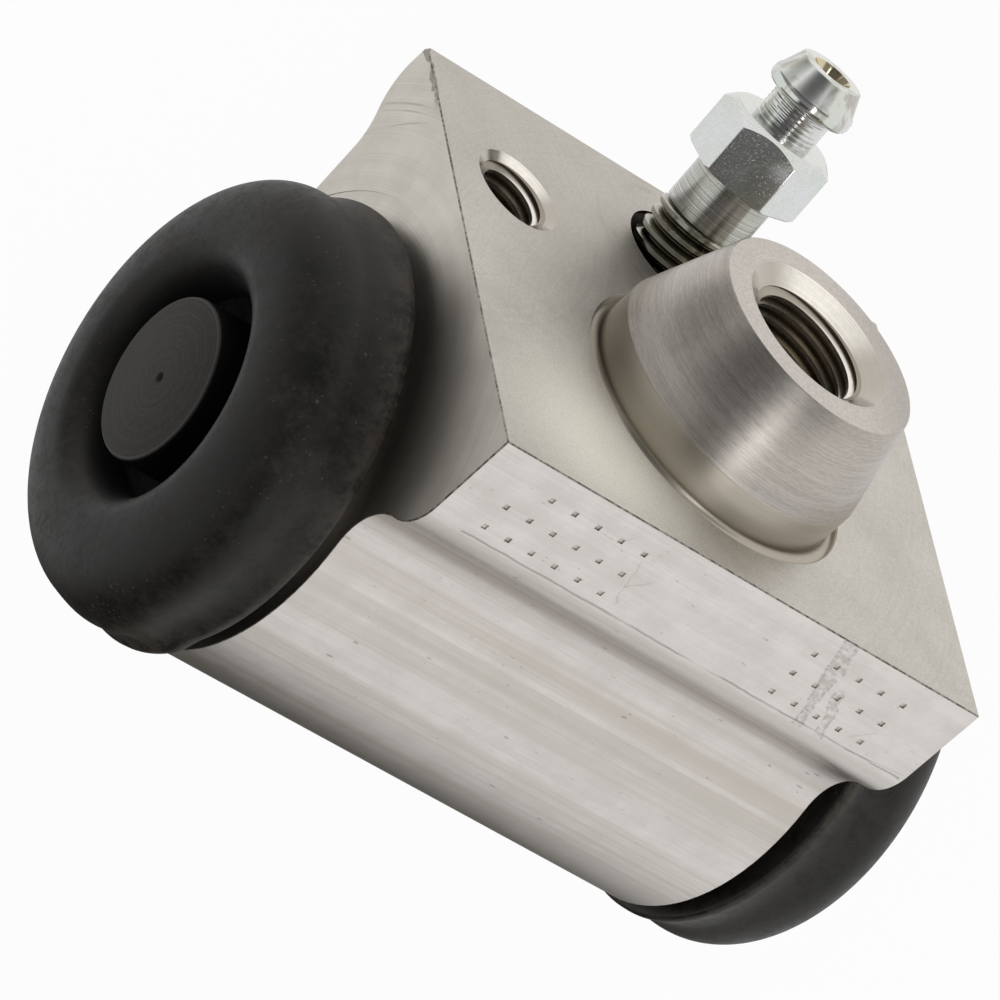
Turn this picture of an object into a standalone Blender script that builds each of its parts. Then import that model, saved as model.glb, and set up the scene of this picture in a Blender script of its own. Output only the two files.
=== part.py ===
"""Drum brake wheel cylinder with two opposed pistons.

The aluminium body is an extruded bar, cut to length, with the hose boss turned on its mounting
face. Inside, a spring spreads two rubber cups against two pistons, and rubber boots close the ends.

Lengths are in metres. +X runs along the bore, +Z out of the mounting face, and +Y towards the
bleed screw. The origin lies at the bottom of the cylinder, halfway along it and halfway across
its flange.
"""

import math

import bmesh
import bpy
from mathutils import Matrix, Vector

# Extruded section of the body
BODY_LENGTH = 0.0450
BORE_DEPTH = 0.02165
BORE_RADIUS = 0.01110
BARREL_WALL = 0.0053
NEAR_OVERHANG = 0.0036
FAR_OVERHANG = 0.0049
NEAR_SIDE_HEIGHT = 0.0072
NEAR_CORNER_RADIUS = 0.00435
WAIST_RADIUS = 0.0045
FAR_SIDE_HEIGHT = 0.0026
FAR_CORNER_RADIUS = 0.0047
FAR_FILLET_RADIUS = 0.0015
FAR_WALL_LEAN = math.radians(8)

# Turned ends of the body, which carry the boots
SPOT_FACE_MARGIN = 0.0018
SPOT_FACE_DEPTH = 0.00025
SPIGOT_LENGTH = 0.0042
SPIGOT_WALL = 0.0025
LAND_HEIGHT = 0.0010
LAND_LENGTH = 0.0011
END_CHAMFER = 0.0004

# Hose boss and its threaded port
BOSS_OFFSET = 0.0043
BOSS_HEIGHT = 0.01065
BOSS_TOP_WALL = 0.00348
BOSS_TAPER = 0.00242
BOSS_BAND_HEIGHT = 0.0031
BOSS_FILLET_RADIUS = 0.0011
BOSS_GROOVE_WIDTH = 0.00085
BOSS_GROOVE_DEPTH = 0.0004
PORT_RADIUS = 0.0050
PORT_CHAMFER_WIDTH = 0.00132
PORT_CHAMFER_DEPTH = 0.0010
PORT_DEPTH = 0.0115
PORT_PASSAGE_RADIUS = 0.0015

# Mounting screw holes
MOUNT_HOLE_FROM_END = 0.0066
MOUNT_HOLE_FROM_EDGE = 0.0111
MOUNT_HOLE_RADIUS = 0.0030
MOUNT_CHAMFER_WIDTH = 0.00062
MOUNT_CHAMFER_DEPTH = 0.00045
MOUNT_HOLE_WALL = 0.00175

# Bleed screw and its slanted hole
BLEED_FROM_EDGE = 0.0075
BLEED_LEAN = math.radians(11.5)
BLEED_HOLE_RADIUS = 0.0035
BLEED_CHAMFER_WIDTH = 0.0006
BLEED_CHAMFER_DEPTH = 0.0006
BLEED_HOLE_WALL = 0.0040
BLEED_PASSAGE_RADIUS = 0.0010
THREAD_CLEARANCE = 0.00005
BLEED_THREAD_REACH = 0.0035
BLEED_THREAD_CHAMFER = 0.0005
BLEED_SHANK_STEP = 0.00021
BLEED_TIP_STEP = 0.00115
BLEED_TIP_LENGTH = 0.0028
BLEED_TIP_BEVEL = 0.0007
HEX_UNDERSIDE = 0.00735
HEX_HEIGHT = 0.0049
HEX_ACROSS_FLATS = 0.0080
HEX_TURN = math.radians(28)
HEX_CROWN_INSET = 0.0002
HEX_CROWN_ANGLE = math.radians(30)
NIPPLE_NECK_RADIUS = 0.00243
NIPPLE_NECK_LENGTH = 0.00245
NIPPLE_COLLAR_HEIGHT = 0.0007
NIPPLE_COLLAR_LENGTH = 0.0011
NIPPLE_TAPER = 0.00058
NIPPLE_CONE_LENGTH = 0.0017
NIPPLE_BORE_RADIUS = 0.0009
NIPPLE_CUP_WIDTH = 0.0007
NIPPLE_SIDE_HOLE_RADIUS = 0.0007

# Pistons
PISTON_CLEARANCE = 0.00005
PISTON_LENGTH = 0.0115
PISTON_SHOULDER = 0.0015
PISTON_CHAMFER = 0.0004
STUB_RADIUS = 0.00605
STUB_REACH = 0.0093
STUB_EDGE = 0.0003
STUB_GROOVE_DEPTH = 0.0010
STUB_GROOVE_START = 0.0039
STUB_DIMPLE_RADIUS = 0.0005

# Cups, their expanders and the spring
CUP_CLEARANCE = 0.0001
CUP_BASE = 0.0025
CUP_LENGTH = 0.0060
CUP_LIP = 0.0015
EXPANDER_WALL = 0.0008
EXPANDER_NOSE_CLEARANCE = 0.00065
EXPANDER_NOSE_LENGTH = 0.0030
SPRING_RADIUS = 0.0053
SPRING_WIRE = 0.0011
SPRING_TURNS = 4
SPRING_END_GAP = 0.00005

# Boots
BOOT_RIM_HEIGHT = 0.0008
BOOT_RIM_START = 0.00125
BOOT_RIM_LENGTH = 0.0014
BOOT_VALLEY_DEPTH = 0.00025
BOOT_ROLL_DROP = 0.00045
BOOT_CREST_SHARE = 0.32
BOOT_ROLL_START = 0.0055
BOOT_PROUD = 0.00035
BOOT_WALL = 0.0014
BOOT_LEAF_GAP = 0.00195
BOOT_LIP_LENGTH = 0.0011

# Fit between pieces that touch, and how the holes are cut
SEAT_GAP = 0.0003
OVERCUT = 0.001
DRILL_POINT_SLOPE = math.tan(math.radians(31))

# Smoothness of the round shapes
LARGE_SIDES = 48
MEDIUM_SIDES = 36
SMALL_SIDES = 24
ARC_STEP = math.radians(9)
ROLL_STEPS = 5
SKIRT_STEPS = 4
COIL_STEPS = 14

# Places that follow from the sizes
HALF_LENGTH = BODY_LENGTH / 2
BARREL_RADIUS = BORE_RADIUS + BARREL_WALL
FLANGE_NEAR = BARREL_RADIUS + NEAR_OVERHANG
FLANGE_FAR = BARREL_RADIUS + FAR_OVERHANG
MOUNT_HOLE_OFFSET = FLANGE_FAR - MOUNT_HOLE_FROM_EDGE
BLEED_OFFSET = FLANGE_FAR - BLEED_FROM_EDGE
NECK_RADIUS = BORE_RADIUS + SPIGOT_WALL
LAND_RADIUS = NECK_RADIUS + LAND_HEIGHT
BOOT_RIM_RADIUS = BARREL_RADIUS + BOOT_RIM_HEIGHT
BOOT_ROLL_RADIUS = BOOT_RIM_RADIUS - BOOT_ROLL_DROP
BOOT_LEAF_RADIUS = STUB_RADIUS + BOOT_LEAF_GAP
BOOT_CREST_RADIUS = BOOT_LEAF_RADIUS + (BOOT_ROLL_RADIUS - BOOT_LEAF_RADIUS) * BOOT_CREST_SHARE
BOOT_REACH = STUB_REACH + BOOT_PROUD
BORE_Y = (FLANGE_NEAR - FLANGE_FAR) / 2
BORE_Z = BOOT_RIM_RADIUS
FACE_Z = BORE_Z + BORE_DEPTH
BOSS_Y = BORE_Y - BOSS_OFFSET
BLEED_MOUTH = Vector((0, BORE_Y + BLEED_OFFSET, FACE_Z))
BLEED_AXIS = Vector((0, math.sin(BLEED_LEAN), math.cos(BLEED_LEAN)))
BLEED_THREAD_RADIUS = BLEED_HOLE_RADIUS - THREAD_CLEARANCE
PISTON_FACE = PISTON_LENGTH - PISTON_SHOULDER


def clear_scene():
    for thing in list(bpy.data.objects):
        bpy.data.objects.remove(thing, do_unlink=True)


def new_collection(name):
    collection = bpy.data.collections.new(name)
    bpy.context.scene.collection.children.link(collection)
    return collection


def new_material(name, colour, metallic, roughness):
    material = bpy.data.materials.new(name)
    material.use_nodes = True
    shader = material.node_tree.nodes["Principled BSDF"]
    shader.inputs["Base Color"].default_value = (*colour, 1)
    shader.inputs["Metallic"].default_value = metallic
    shader.inputs["Roughness"].default_value = roughness
    material.diffuse_color = (*colour, 1)
    return material


def arc(centre, radius, start, end):
    """Points along an arc, both ends included, in steps of about ARC_STEP."""
    count = max(2, math.ceil(abs(end - start) / ARC_STEP))
    angles = [start + (end - start) * i / count for i in range(count + 1)]
    return [centre + radius * Vector((math.cos(a), math.sin(a))) for a in angles]


def heading(start, end):
    step = end - start
    return math.atan2(step.y, step.x)


def circle_crossing(centre_a, radius_a, centre_b, radius_b, side):
    """One of the two points where two circles cross: side is 1 for the left one, going from a to b."""
    line = centre_b - centre_a
    along = (line.length_squared + radius_a**2 - radius_b**2) / (2 * line.length)
    across = math.sqrt(max(radius_a**2 - along**2, 0))
    unit = line.normalized()
    return centre_a + unit * along + side * across * Vector((-unit.y, unit.x))


def line_crossing(normal, distance, centre, radius):
    """The lower point where a circle meets the line that lies at a distance along a normal."""
    to_line = distance - normal.dot(centre)
    across = math.sqrt(max(radius**2 - to_line**2, 0))
    return centre + normal * to_line + across * Vector((normal.y, -normal.x))


def depth_to_bore(mouth, direction, wall):
    """How deep a straight line in the section runs from a mouth before only a wall hides the bore."""
    along = -mouth.dot(direction)
    beyond = mouth.length_squared - (BORE_RADIUS + wall)**2
    return along - math.sqrt(along**2 - beyond)


def bleed_hole_depth():
    inward = Vector((-BLEED_AXIS.y, -BLEED_AXIS.z))
    near_edge = Vector((BLEED_OFFSET, BORE_DEPTH)) + BLEED_HOLE_RADIUS * Vector((inward.y, -inward.x))
    return depth_to_bore(near_edge, inward, BLEED_HOLE_WALL)


def body_outline():
    """The bar's section in Y and Z about the bore axis, anticlockwise from its far upper corner."""
    bore = Vector((0, 0))
    near_corner = Vector((NEAR_CORNER_RADIUS - FLANGE_NEAR, BORE_DEPTH - NEAR_SIDE_HEIGHT))
    waist = circle_crossing(
        bore, BARREL_RADIUS + WAIST_RADIUS, near_corner, NEAR_CORNER_RADIUS + WAIST_RADIUS, 1
    )
    far_corner = Vector((FLANGE_FAR - FAR_CORNER_RADIUS, BORE_DEPTH - FAR_SIDE_HEIGHT))
    wall_normal = Vector((math.cos(FAR_WALL_LEAN), -math.sin(FAR_WALL_LEAN)))
    far_fillet = line_crossing(
        wall_normal, BARREL_RADIUS + FAR_FILLET_RADIUS, far_corner, FAR_CORNER_RADIUS + FAR_FILLET_RADIUS
    )
    full_turn = 2 * math.pi
    points = [Vector((FLANGE_FAR, BORE_DEPTH)), Vector((-FLANGE_NEAR, BORE_DEPTH))]
    points += arc(near_corner, NEAR_CORNER_RADIUS, math.pi, heading(near_corner, waist) % full_turn)
    points += arc(waist, WAIST_RADIUS, heading(waist, near_corner), heading(waist, bore))[1:]
    points += arc(bore, BARREL_RADIUS, heading(bore, waist), full_turn - FAR_WALL_LEAN)[1:]
    points += arc(
        far_fillet, FAR_FILLET_RADIUS, math.pi - FAR_WALL_LEAN, heading(far_fillet, far_corner)
    )
    points += arc(far_corner, FAR_CORNER_RADIUS, heading(far_corner, far_fillet), 0)[1:]
    return points


def add_mesh_object(name, mesh, collection):
    thing = bpy.data.objects.new(name, mesh)
    collection.objects.link(thing)
    return thing


def shade_round(mesh):
    mesh.shade_smooth()
    mesh.set_sharp_from_angle(angle=math.radians(30))


def apply_modifiers(thing):
    """Makes an object the plain mesh that its modifiers give, with round shading."""
    evaluated = thing.evaluated_get(bpy.context.evaluated_depsgraph_get())
    mesh = bpy.data.meshes.new_from_object(evaluated)
    thing.modifiers.clear()
    thing.data = mesh
    shade_round(mesh)


def extruded(name, outline, length, placing, collection):
    """A flat outline given a thickness along its own Z, then placed by a matrix."""
    curve = bpy.data.curves.new(name, "CURVE")
    curve.dimensions = "2D"
    curve.fill_mode = "BOTH"
    curve.extrude = length / 2
    spline = curve.splines.new("POLY")
    spline.points.add(len(outline) - 1)
    for point, place in zip(spline.points, outline):
        point.co = (place.x, place.y, 0, 1)
    spline.use_cyclic_u = True
    blank = bpy.data.objects.new(name + "_curve", curve)
    collection.objects.link(blank)
    bpy.context.view_layer.update()
    mesh = bpy.data.meshes.new_from_object(blank.evaluated_get(bpy.context.evaluated_depsgraph_get()))
    bpy.data.objects.remove(blank, do_unlink=True)
    weld = bmesh.new()
    weld.from_mesh(mesh)
    bmesh.ops.remove_doubles(weld, verts=weld.verts, dist=0.000001)
    bmesh.ops.recalc_face_normals(weld, faces=weld.faces)
    weld.to_mesh(mesh)
    weld.free()
    mesh.transform(placing)
    mesh.update()
    shade_round(mesh)
    return add_mesh_object(name, mesh, collection)


def turned(name, profile, collection, sides=MEDIUM_SIDES, closed=False):
    """A profile of (radius, height) points, turned about the object's own Z.

    It runs down its outer side, top to bottom, and a closed one then up its inner side.
    """
    mesh = bpy.data.meshes.new(name)
    outline = bmesh.new()
    points = [outline.verts.new((radius, 0, height)) for radius, height in profile]
    for start, end in zip(points, points[1:]):
        outline.edges.new((start, end))
    if closed:
        outline.edges.new((points[-1], points[0]))
    outline.to_mesh(mesh)
    outline.free()
    thing = add_mesh_object(name, mesh, collection)
    screw = thing.modifiers.new("turn", "SCREW")
    screw.axis = "Z"
    screw.angle = 2 * math.pi
    screw.steps = sides
    screw.render_steps = sides
    screw.use_merge_vertices = True
    screw.merge_threshold = 0.00001
    apply_modifiers(thing)
    return thing


def point_along(thing, origin, direction, turn=0.0):
    """Places an object so that its own Z points along a direction, turned about that."""
    aim = Vector(direction).to_track_quat("Z", "Y").to_matrix().to_4x4()
    thing.matrix_world = Matrix.Translation(origin) @ aim @ Matrix.Rotation(turn, 4, "Z")


def hide_cutter(thing):
    thing.hide_render = True
    thing.display_type = "WIRE"


def combine(target, other, operation):
    """Adds a Boolean with another object to the target."""
    hide_cutter(other)
    boolean = target.modifiers.new(other.name, "BOOLEAN")
    boolean.operation = operation
    boolean.solver = "EXACT"
    boolean.object = other


def end_origin(side):
    """The bore axis at one end face of the bar."""
    return Vector((side * HALF_LENGTH, BORE_Y, BORE_Z))


def spigot(name, side, cutters):
    """The turned nose at one end, with a neck and a land that hold the boot's bead."""
    land_start = SPIGOT_LENGTH - LAND_LENGTH
    root = -SPOT_FACE_DEPTH - OVERCUT
    profile = [
        (0, SPIGOT_LENGTH),
        (LAND_RADIUS - END_CHAMFER, SPIGOT_LENGTH),
        (LAND_RADIUS, SPIGOT_LENGTH - END_CHAMFER),
        (LAND_RADIUS, land_start),
        (NECK_RADIUS, land_start),
        (NECK_RADIUS, root),
        (0, root),
    ]
    nose = turned(name, profile, cutters, LARGE_SIDES)
    point_along(nose, end_origin(side), (side, 0, 0))
    return nose


def spot_face(name, side, cutters):
    """Cuts the shallow round face that the end tool leaves round the spigot."""
    outer = BOOT_RIM_RADIUS + SPOT_FACE_MARGIN
    profile = [
        (outer, OVERCUT),
        (outer, -SPOT_FACE_DEPTH),
        (NECK_RADIUS, -SPOT_FACE_DEPTH),
        (NECK_RADIUS, OVERCUT),
    ]
    cutter = turned(name, profile, cutters, LARGE_SIDES, closed=True)
    point_along(cutter, end_origin(side), (side, 0, 0))
    return cutter


def bore_cutter(cutters):
    """The through bore, with a lead-in chamfer at both mouths."""
    reach = HALF_LENGTH + SPIGOT_LENGTH
    wide = BORE_RADIUS + END_CHAMFER + OVERCUT
    profile = [
        (0, reach + OVERCUT),
        (wide, reach + OVERCUT),
        (BORE_RADIUS, reach - END_CHAMFER),
        (BORE_RADIUS, END_CHAMFER - reach),
        (wide, -reach - OVERCUT),
        (0, -reach - OVERCUT),
    ]
    cutter = turned("bore_cutter", profile, cutters, LARGE_SIDES)
    point_along(cutter, (0, BORE_Y, BORE_Z), (1, 0, 0))
    return cutter


def boss_solid(cutters):
    """The hose boss: a turned cone on a short band that flares into the mounting face."""
    top = PORT_RADIUS + BOSS_TOP_WALL
    foot = Vector((top + BOSS_TAPER + BOSS_FILLET_RADIUS, BOSS_FILLET_RADIUS - BOSS_GROOVE_DEPTH))
    profile = [
        (0, BOSS_HEIGHT),
        (top - END_CHAMFER / 2, BOSS_HEIGHT),
        (top, BOSS_HEIGHT - END_CHAMFER / 2),
        (top + BOSS_TAPER, BOSS_BAND_HEIGHT),
    ]
    profile += [tuple(point) for point in arc(foot, BOSS_FILLET_RADIUS, math.pi, 1.5 * math.pi)]
    profile += [(foot.x, -BOSS_GROOVE_DEPTH - OVERCUT), (0, -BOSS_GROOVE_DEPTH - OVERCUT)]
    boss = turned("boss_solid", profile, cutters, LARGE_SIDES)
    boss.location = (0, BOSS_Y, FACE_Z)
    return boss


def boss_groove(cutters):
    """The shallow round groove that the boss tool leaves in the mounting face."""
    outer = PORT_RADIUS + BOSS_TOP_WALL + BOSS_TAPER + BOSS_GROOVE_WIDTH
    profile = [
        (outer, OVERCUT),
        (outer, -BOSS_GROOVE_DEPTH / 2),
        (outer - BOSS_GROOVE_DEPTH / 2, -BOSS_GROOVE_DEPTH),
        (0, -BOSS_GROOVE_DEPTH),
        (0, OVERCUT),
    ]
    cutter = turned("boss_groove", profile, cutters, LARGE_SIDES)
    cutter.location = (0, BOSS_Y, FACE_Z)
    return cutter


def drilled_hole(name, mouth, radius, depth, tip_radius, passage, cutters):
    """A drill and its countersink: mouth is the countersink's (width, depth)."""
    mouth_width, mouth_depth = mouth
    flare = mouth_width / mouth_depth
    tip_depth = depth + (radius - tip_radius) * DRILL_POINT_SLOPE
    profile = [
        (0, OVERCUT),
        (radius + flare * (mouth_depth + OVERCUT), OVERCUT),
        (radius, -mouth_depth),
        (radius, -depth),
        (tip_radius, -tip_depth),
    ]
    if passage > 0:
        profile += [(tip_radius, -tip_depth - passage), (0, -tip_depth - passage)]
    return turned(name, profile, cutters, SMALL_SIDES)


def port_cutter(cutters):
    """The hose thread's hole, its seat and the passage down to the bore."""
    passage = BOSS_HEIGHT + BORE_DEPTH - BORE_RADIUS - PORT_DEPTH + BOSS_OFFSET / 2
    cutter = drilled_hole(
        "port_cutter",
        (PORT_CHAMFER_WIDTH, PORT_CHAMFER_DEPTH),
        PORT_RADIUS,
        PORT_DEPTH,
        PORT_PASSAGE_RADIUS,
        passage,
        cutters,
    )
    cutter.location = (0, BOSS_Y, FACE_Z + BOSS_HEIGHT)
    return cutter


def mount_hole_cutter(name, side, cutters):
    """One blind mounting hole, as deep as the wall that it leaves over the bore allows."""
    near_edge = Vector((MOUNT_HOLE_OFFSET - MOUNT_HOLE_RADIUS, BORE_DEPTH))
    cutter = drilled_hole(
        name,
        (MOUNT_CHAMFER_WIDTH, MOUNT_CHAMFER_DEPTH),
        MOUNT_HOLE_RADIUS,
        depth_to_bore(near_edge, Vector((0, -1)), MOUNT_HOLE_WALL),
        0,
        0,
        cutters,
    )
    place = HALF_LENGTH - MOUNT_HOLE_FROM_END
    cutter.location = (side * place, BORE_Y + MOUNT_HOLE_OFFSET, FACE_Z)
    return cutter


def bleed_hole_cutter(cutters):
    """The slanted bleed hole, whose passage breaks into the side of the bore."""
    cutter = drilled_hole(
        "bleed_hole_cutter",
        (BLEED_CHAMFER_WIDTH, BLEED_CHAMFER_DEPTH),
        BLEED_HOLE_RADIUS,
        bleed_hole_depth(),
        BLEED_PASSAGE_RADIUS,
        BORE_DEPTH - bleed_hole_depth(),
        cutters,
    )
    point_along(cutter, BLEED_MOUTH, BLEED_AXIS)
    return cutter


def make_body(parts, cutters, material):
    placing = Matrix(((0, 0, 1, 0), (1, 0, 0, BORE_Y), (0, 1, 0, BORE_Z), (0, 0, 0, 1)))
    body = extruded("body", body_outline(), BODY_LENGTH, placing, parts)
    body.data.materials.append(material)
    for side, word in ((-1, "left"), (1, "right")):
        combine(body, spot_face("spot_face_" + word, side, cutters), "DIFFERENCE")
    combine(body, boss_groove(cutters), "DIFFERENCE")
    combine(body, boss_solid(cutters), "UNION")
    for side, word in ((-1, "left"), (1, "right")):
        combine(body, spigot("spigot_" + word, side, cutters), "UNION")
    combine(body, bore_cutter(cutters), "DIFFERENCE")
    combine(body, port_cutter(cutters), "DIFFERENCE")
    for side, word in ((-1, "left"), (1, "right")):
        combine(body, mount_hole_cutter("mount_hole_" + word, side, cutters), "DIFFERENCE")
    combine(body, bleed_hole_cutter(cutters), "DIFFERENCE")
    apply_modifiers(body)
    return body


def make_piston(name, side, parts, material):
    """A piston with its bare end stub: heights count outwards from the end face of the bar."""
    radius = BORE_RADIUS - PISTON_CLEARANCE
    groove_end = STUB_GROOVE_START + BOOT_LIP_LENGTH + 2 * SEAT_GAP
    profile = [
        (0, STUB_REACH - STUB_DIMPLE_RADIUS),
        (STUB_DIMPLE_RADIUS, STUB_REACH),
        (STUB_RADIUS - STUB_EDGE, STUB_REACH),
        (STUB_RADIUS, STUB_REACH - STUB_EDGE),
        (STUB_RADIUS, groove_end),
        (STUB_RADIUS - STUB_GROOVE_DEPTH, groove_end),
        (STUB_RADIUS - STUB_GROOVE_DEPTH, STUB_GROOVE_START),
        (STUB_RADIUS, STUB_GROOVE_START),
        (STUB_RADIUS, PISTON_SHOULDER),
        (radius - PISTON_CHAMFER, PISTON_SHOULDER),
        (radius, PISTON_SHOULDER - PISTON_CHAMFER),
        (radius, PISTON_CHAMFER - PISTON_FACE),
        (radius - PISTON_CHAMFER, -PISTON_FACE),
        (0, -PISTON_FACE),
    ]
    piston = turned(name, profile, parts, MEDIUM_SIDES)
    point_along(piston, end_origin(side), (side, 0, 0))
    piston.data.materials.append(material)
    return piston


def make_cup(name, side, parts, material):
    """A pressure cup: a thick base behind a lip that spreads towards the fluid."""
    outer = BORE_RADIUS - CUP_CLEARANCE
    back = -PISTON_FACE - SEAT_GAP
    tip = back - CUP_LENGTH
    heel = outer - CUP_LIP / 4
    floor = back - CUP_BASE
    profile = [
        (0, back),
        (heel - CUP_LIP / 3, back),
        (heel, back - CUP_LIP / 3),
        (heel, floor),
        (outer, tip + CUP_LIP / 2),
        (outer - CUP_LIP / 3, tip),
        (outer - CUP_LIP * 2 / 3, tip),
        (outer - CUP_LIP * 5 / 3, floor),
        (0, floor),
    ]
    cup = turned(name, profile, parts, MEDIUM_SIDES)
    point_along(cup, end_origin(side), (side, 0, 0))
    cup.data.materials.append(material)
    return cup


def expander_back():
    """How far the expander's back lies from the end face of the bar."""
    return PISTON_FACE + CUP_BASE + 2 * SEAT_GAP


def make_expander(name, side, parts, material):
    """A pressed disc that keeps the cup's lip apart and guides the spring on its nose."""
    back = -expander_back()
    front = back - EXPANDER_WALL
    rim = BORE_RADIUS - CUP_CLEARANCE - CUP_LIP * 5 / 3 - SEAT_GAP
    nose_radius = SPRING_RADIUS - SPRING_WIRE / 2 - EXPANDER_NOSE_CLEARANCE
    nose_tip = front - EXPANDER_NOSE_LENGTH
    profile = [
        (0, back),
        (rim - EXPANDER_WALL, back),
        (rim, back - EXPANDER_WALL / 2),
        (rim, front - EXPANDER_WALL / 2),
        (rim - EXPANDER_WALL, front),
        (nose_radius, front),
        (nose_radius - EXPANDER_WALL / 2, nose_tip),
        (0, nose_tip),
    ]
    expander = turned(name, profile, parts, MEDIUM_SIDES)
    point_along(expander, end_origin(side), (side, 0, 0))
    expander.data.materials.append(material)
    return expander


def make_spring(parts, material):
    """A coil spring with a closed turn at each end, between the two expanders."""
    seat = HALF_LENGTH - expander_back() - EXPANDER_WALL - SEAT_GAP
    half = seat - SPRING_WIRE / 2
    closed_rise = SPRING_WIRE + SPRING_END_GAP
    turns = SPRING_TURNS + 2
    curve = bpy.data.curves.new("spring", "CURVE")
    curve.dimensions = "3D"
    curve.bevel_depth = SPRING_WIRE / 2
    curve.bevel_resolution = 2
    curve.use_fill_caps = True
    spline = curve.splines.new("POLY")
    count = turns * COIL_STEPS + 1
    spline.points.add(count - 1)
    for i, point in enumerate(spline.points):
        turn = i / COIL_STEPS
        if turn < 1:
            along = -half + closed_rise * turn
        elif turn > turns - 1:
            along = half - closed_rise * (turns - turn)
        else:
            along = (half - closed_rise) * (2 * (turn - 1) / SPRING_TURNS - 1)
        angle = 2 * math.pi * turn
        across = SPRING_RADIUS * math.cos(angle)
        point.co = (along, BORE_Y + across, BORE_Z + SPRING_RADIUS * math.sin(angle), 1)
    spring = bpy.data.objects.new("spring", curve)
    parts.objects.link(spring)
    curve.materials.append(material)
    return spring


def boot_profile():
    """The boot's section as (radius, height) points: skirt, front roll, inner leaf and lip."""
    lip_radius = STUB_RADIUS - STUB_GROOVE_DEPTH + SEAT_GAP
    lip_start = STUB_GROOVE_START + SEAT_GAP
    lip_end = lip_start + BOOT_LIP_LENGTH
    bead_radius = NECK_RADIUS + SEAT_GAP
    bead_end = SPIGOT_LENGTH - LAND_LENGTH - SEAT_GAP
    depth = BOOT_REACH - BOOT_ROLL_START
    quarter = [math.pi / 2 * i / ROLL_STEPS for i in range(ROLL_STEPS + 1)]

    def roll(radius_span, height_span, start, angles):
        return [
            (BOOT_CREST_RADIUS + radius_span * math.sin(a), start + height_span * math.cos(a))
            for a in angles
        ]

    outer = roll(BOOT_ROLL_RADIUS - BOOT_CREST_RADIUS, depth, BOOT_ROLL_START, quarter)
    skirt_start = BOOT_RIM_START + BOOT_RIM_LENGTH
    for i in range(1, SKIRT_STEPS):
        share = i / SKIRT_STEPS
        sag = math.sin(math.pi * share) * BOOT_VALLEY_DEPTH
        slope = BOOT_ROLL_DROP * share**2
        outer.append(
            (BOOT_ROLL_RADIUS - sag + slope, BOOT_ROLL_START + (skirt_start - BOOT_ROLL_START) * share)
        )
    outer += [
        (BOOT_RIM_RADIUS, skirt_start),
        (BOOT_RIM_RADIUS, BOOT_RIM_START + BOOT_RIM_LENGTH / 3),
        (BOOT_RIM_RADIUS - BOOT_RIM_LENGTH / 3, BOOT_RIM_START),
        (bead_radius, BOOT_RIM_START),
        (bead_radius, bead_end),
    ]
    skirt_inner = BOOT_ROLL_RADIUS - BOOT_WALL
    inner_span = skirt_inner - BOOT_CREST_RADIUS
    cavity_depth = depth - BOOT_WALL
    cavity = [(skirt_inner, bead_end)]
    cavity += roll(inner_span, cavity_depth, BOOT_ROLL_START, reversed(quarter))
    leaf_outer = BOOT_LEAF_RADIUS + BOOT_WALL
    leaf_span = BOOT_CREST_RADIUS - leaf_outer
    cavity += roll(-leaf_span, cavity_depth, BOOT_ROLL_START, quarter[1:])
    cavity += [
        (leaf_outer - BOOT_WALL / 2, lip_start),
        (lip_radius, lip_start),
        (lip_radius, lip_end),
        (BOOT_LEAF_RADIUS - BOOT_WALL / 2, lip_end),
    ]
    face_span = BOOT_CREST_RADIUS - BOOT_LEAF_RADIUS
    face = roll(-face_span, depth, BOOT_ROLL_START, reversed(quarter[1:]))
    return outer + cavity + face


def make_boot(name, side, parts, material):
    boot = turned(name, boot_profile(), parts, MEDIUM_SIDES, closed=True)
    point_along(boot, end_origin(side), (side, 0, 0))
    boot.data.materials.append(material)
    return boot


def hexagon(cutters):
    """The spanner hexagon, cut to a crown by a cone round its top corners."""
    corner = HEX_ACROSS_FLATS / 2 / math.cos(math.pi / 6)
    top_radius = HEX_ACROSS_FLATS / 2 - HEX_CROWN_INSET
    drop = (corner - top_radius) * math.tan(HEX_CROWN_ANGLE)
    wide = corner + OVERCUT
    top = HEX_UNDERSIDE + HEX_HEIGHT
    crown = [
        (0, top),
        (top_radius, top),
        (wide, top - drop - OVERCUT * math.tan(HEX_CROWN_ANGLE)),
        (wide, HEX_UNDERSIDE - OVERCUT),
        (0, HEX_UNDERSIDE - OVERCUT),
    ]
    envelope = turned("hex_crown", crown, cutters, MEDIUM_SIDES)
    point_along(envelope, BLEED_MOUTH, BLEED_AXIS)
    mesh = bpy.data.meshes.new("hexagon")
    prism = bmesh.new()
    middle = Matrix.Translation((0, 0, HEX_UNDERSIDE + HEX_HEIGHT / 2))
    bmesh.ops.create_cone(
        prism, cap_ends=True, segments=6, radius1=corner, radius2=corner, depth=HEX_HEIGHT, matrix=middle
    )
    prism.to_mesh(mesh)
    prism.free()
    solid = add_mesh_object("hexagon", mesh, cutters)
    point_along(solid, BLEED_MOUTH, BLEED_AXIS, HEX_TURN)
    combine(solid, envelope, "INTERSECT")
    apply_modifiers(solid)
    return solid


def bleed_seat_height(radius):
    """The height of the screw's cone at a radius, just clear of the cone at the hole's bottom."""
    return SEAT_GAP - bleed_hole_depth() - (BLEED_HOLE_RADIUS - radius) * DRILL_POINT_SLOPE


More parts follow.
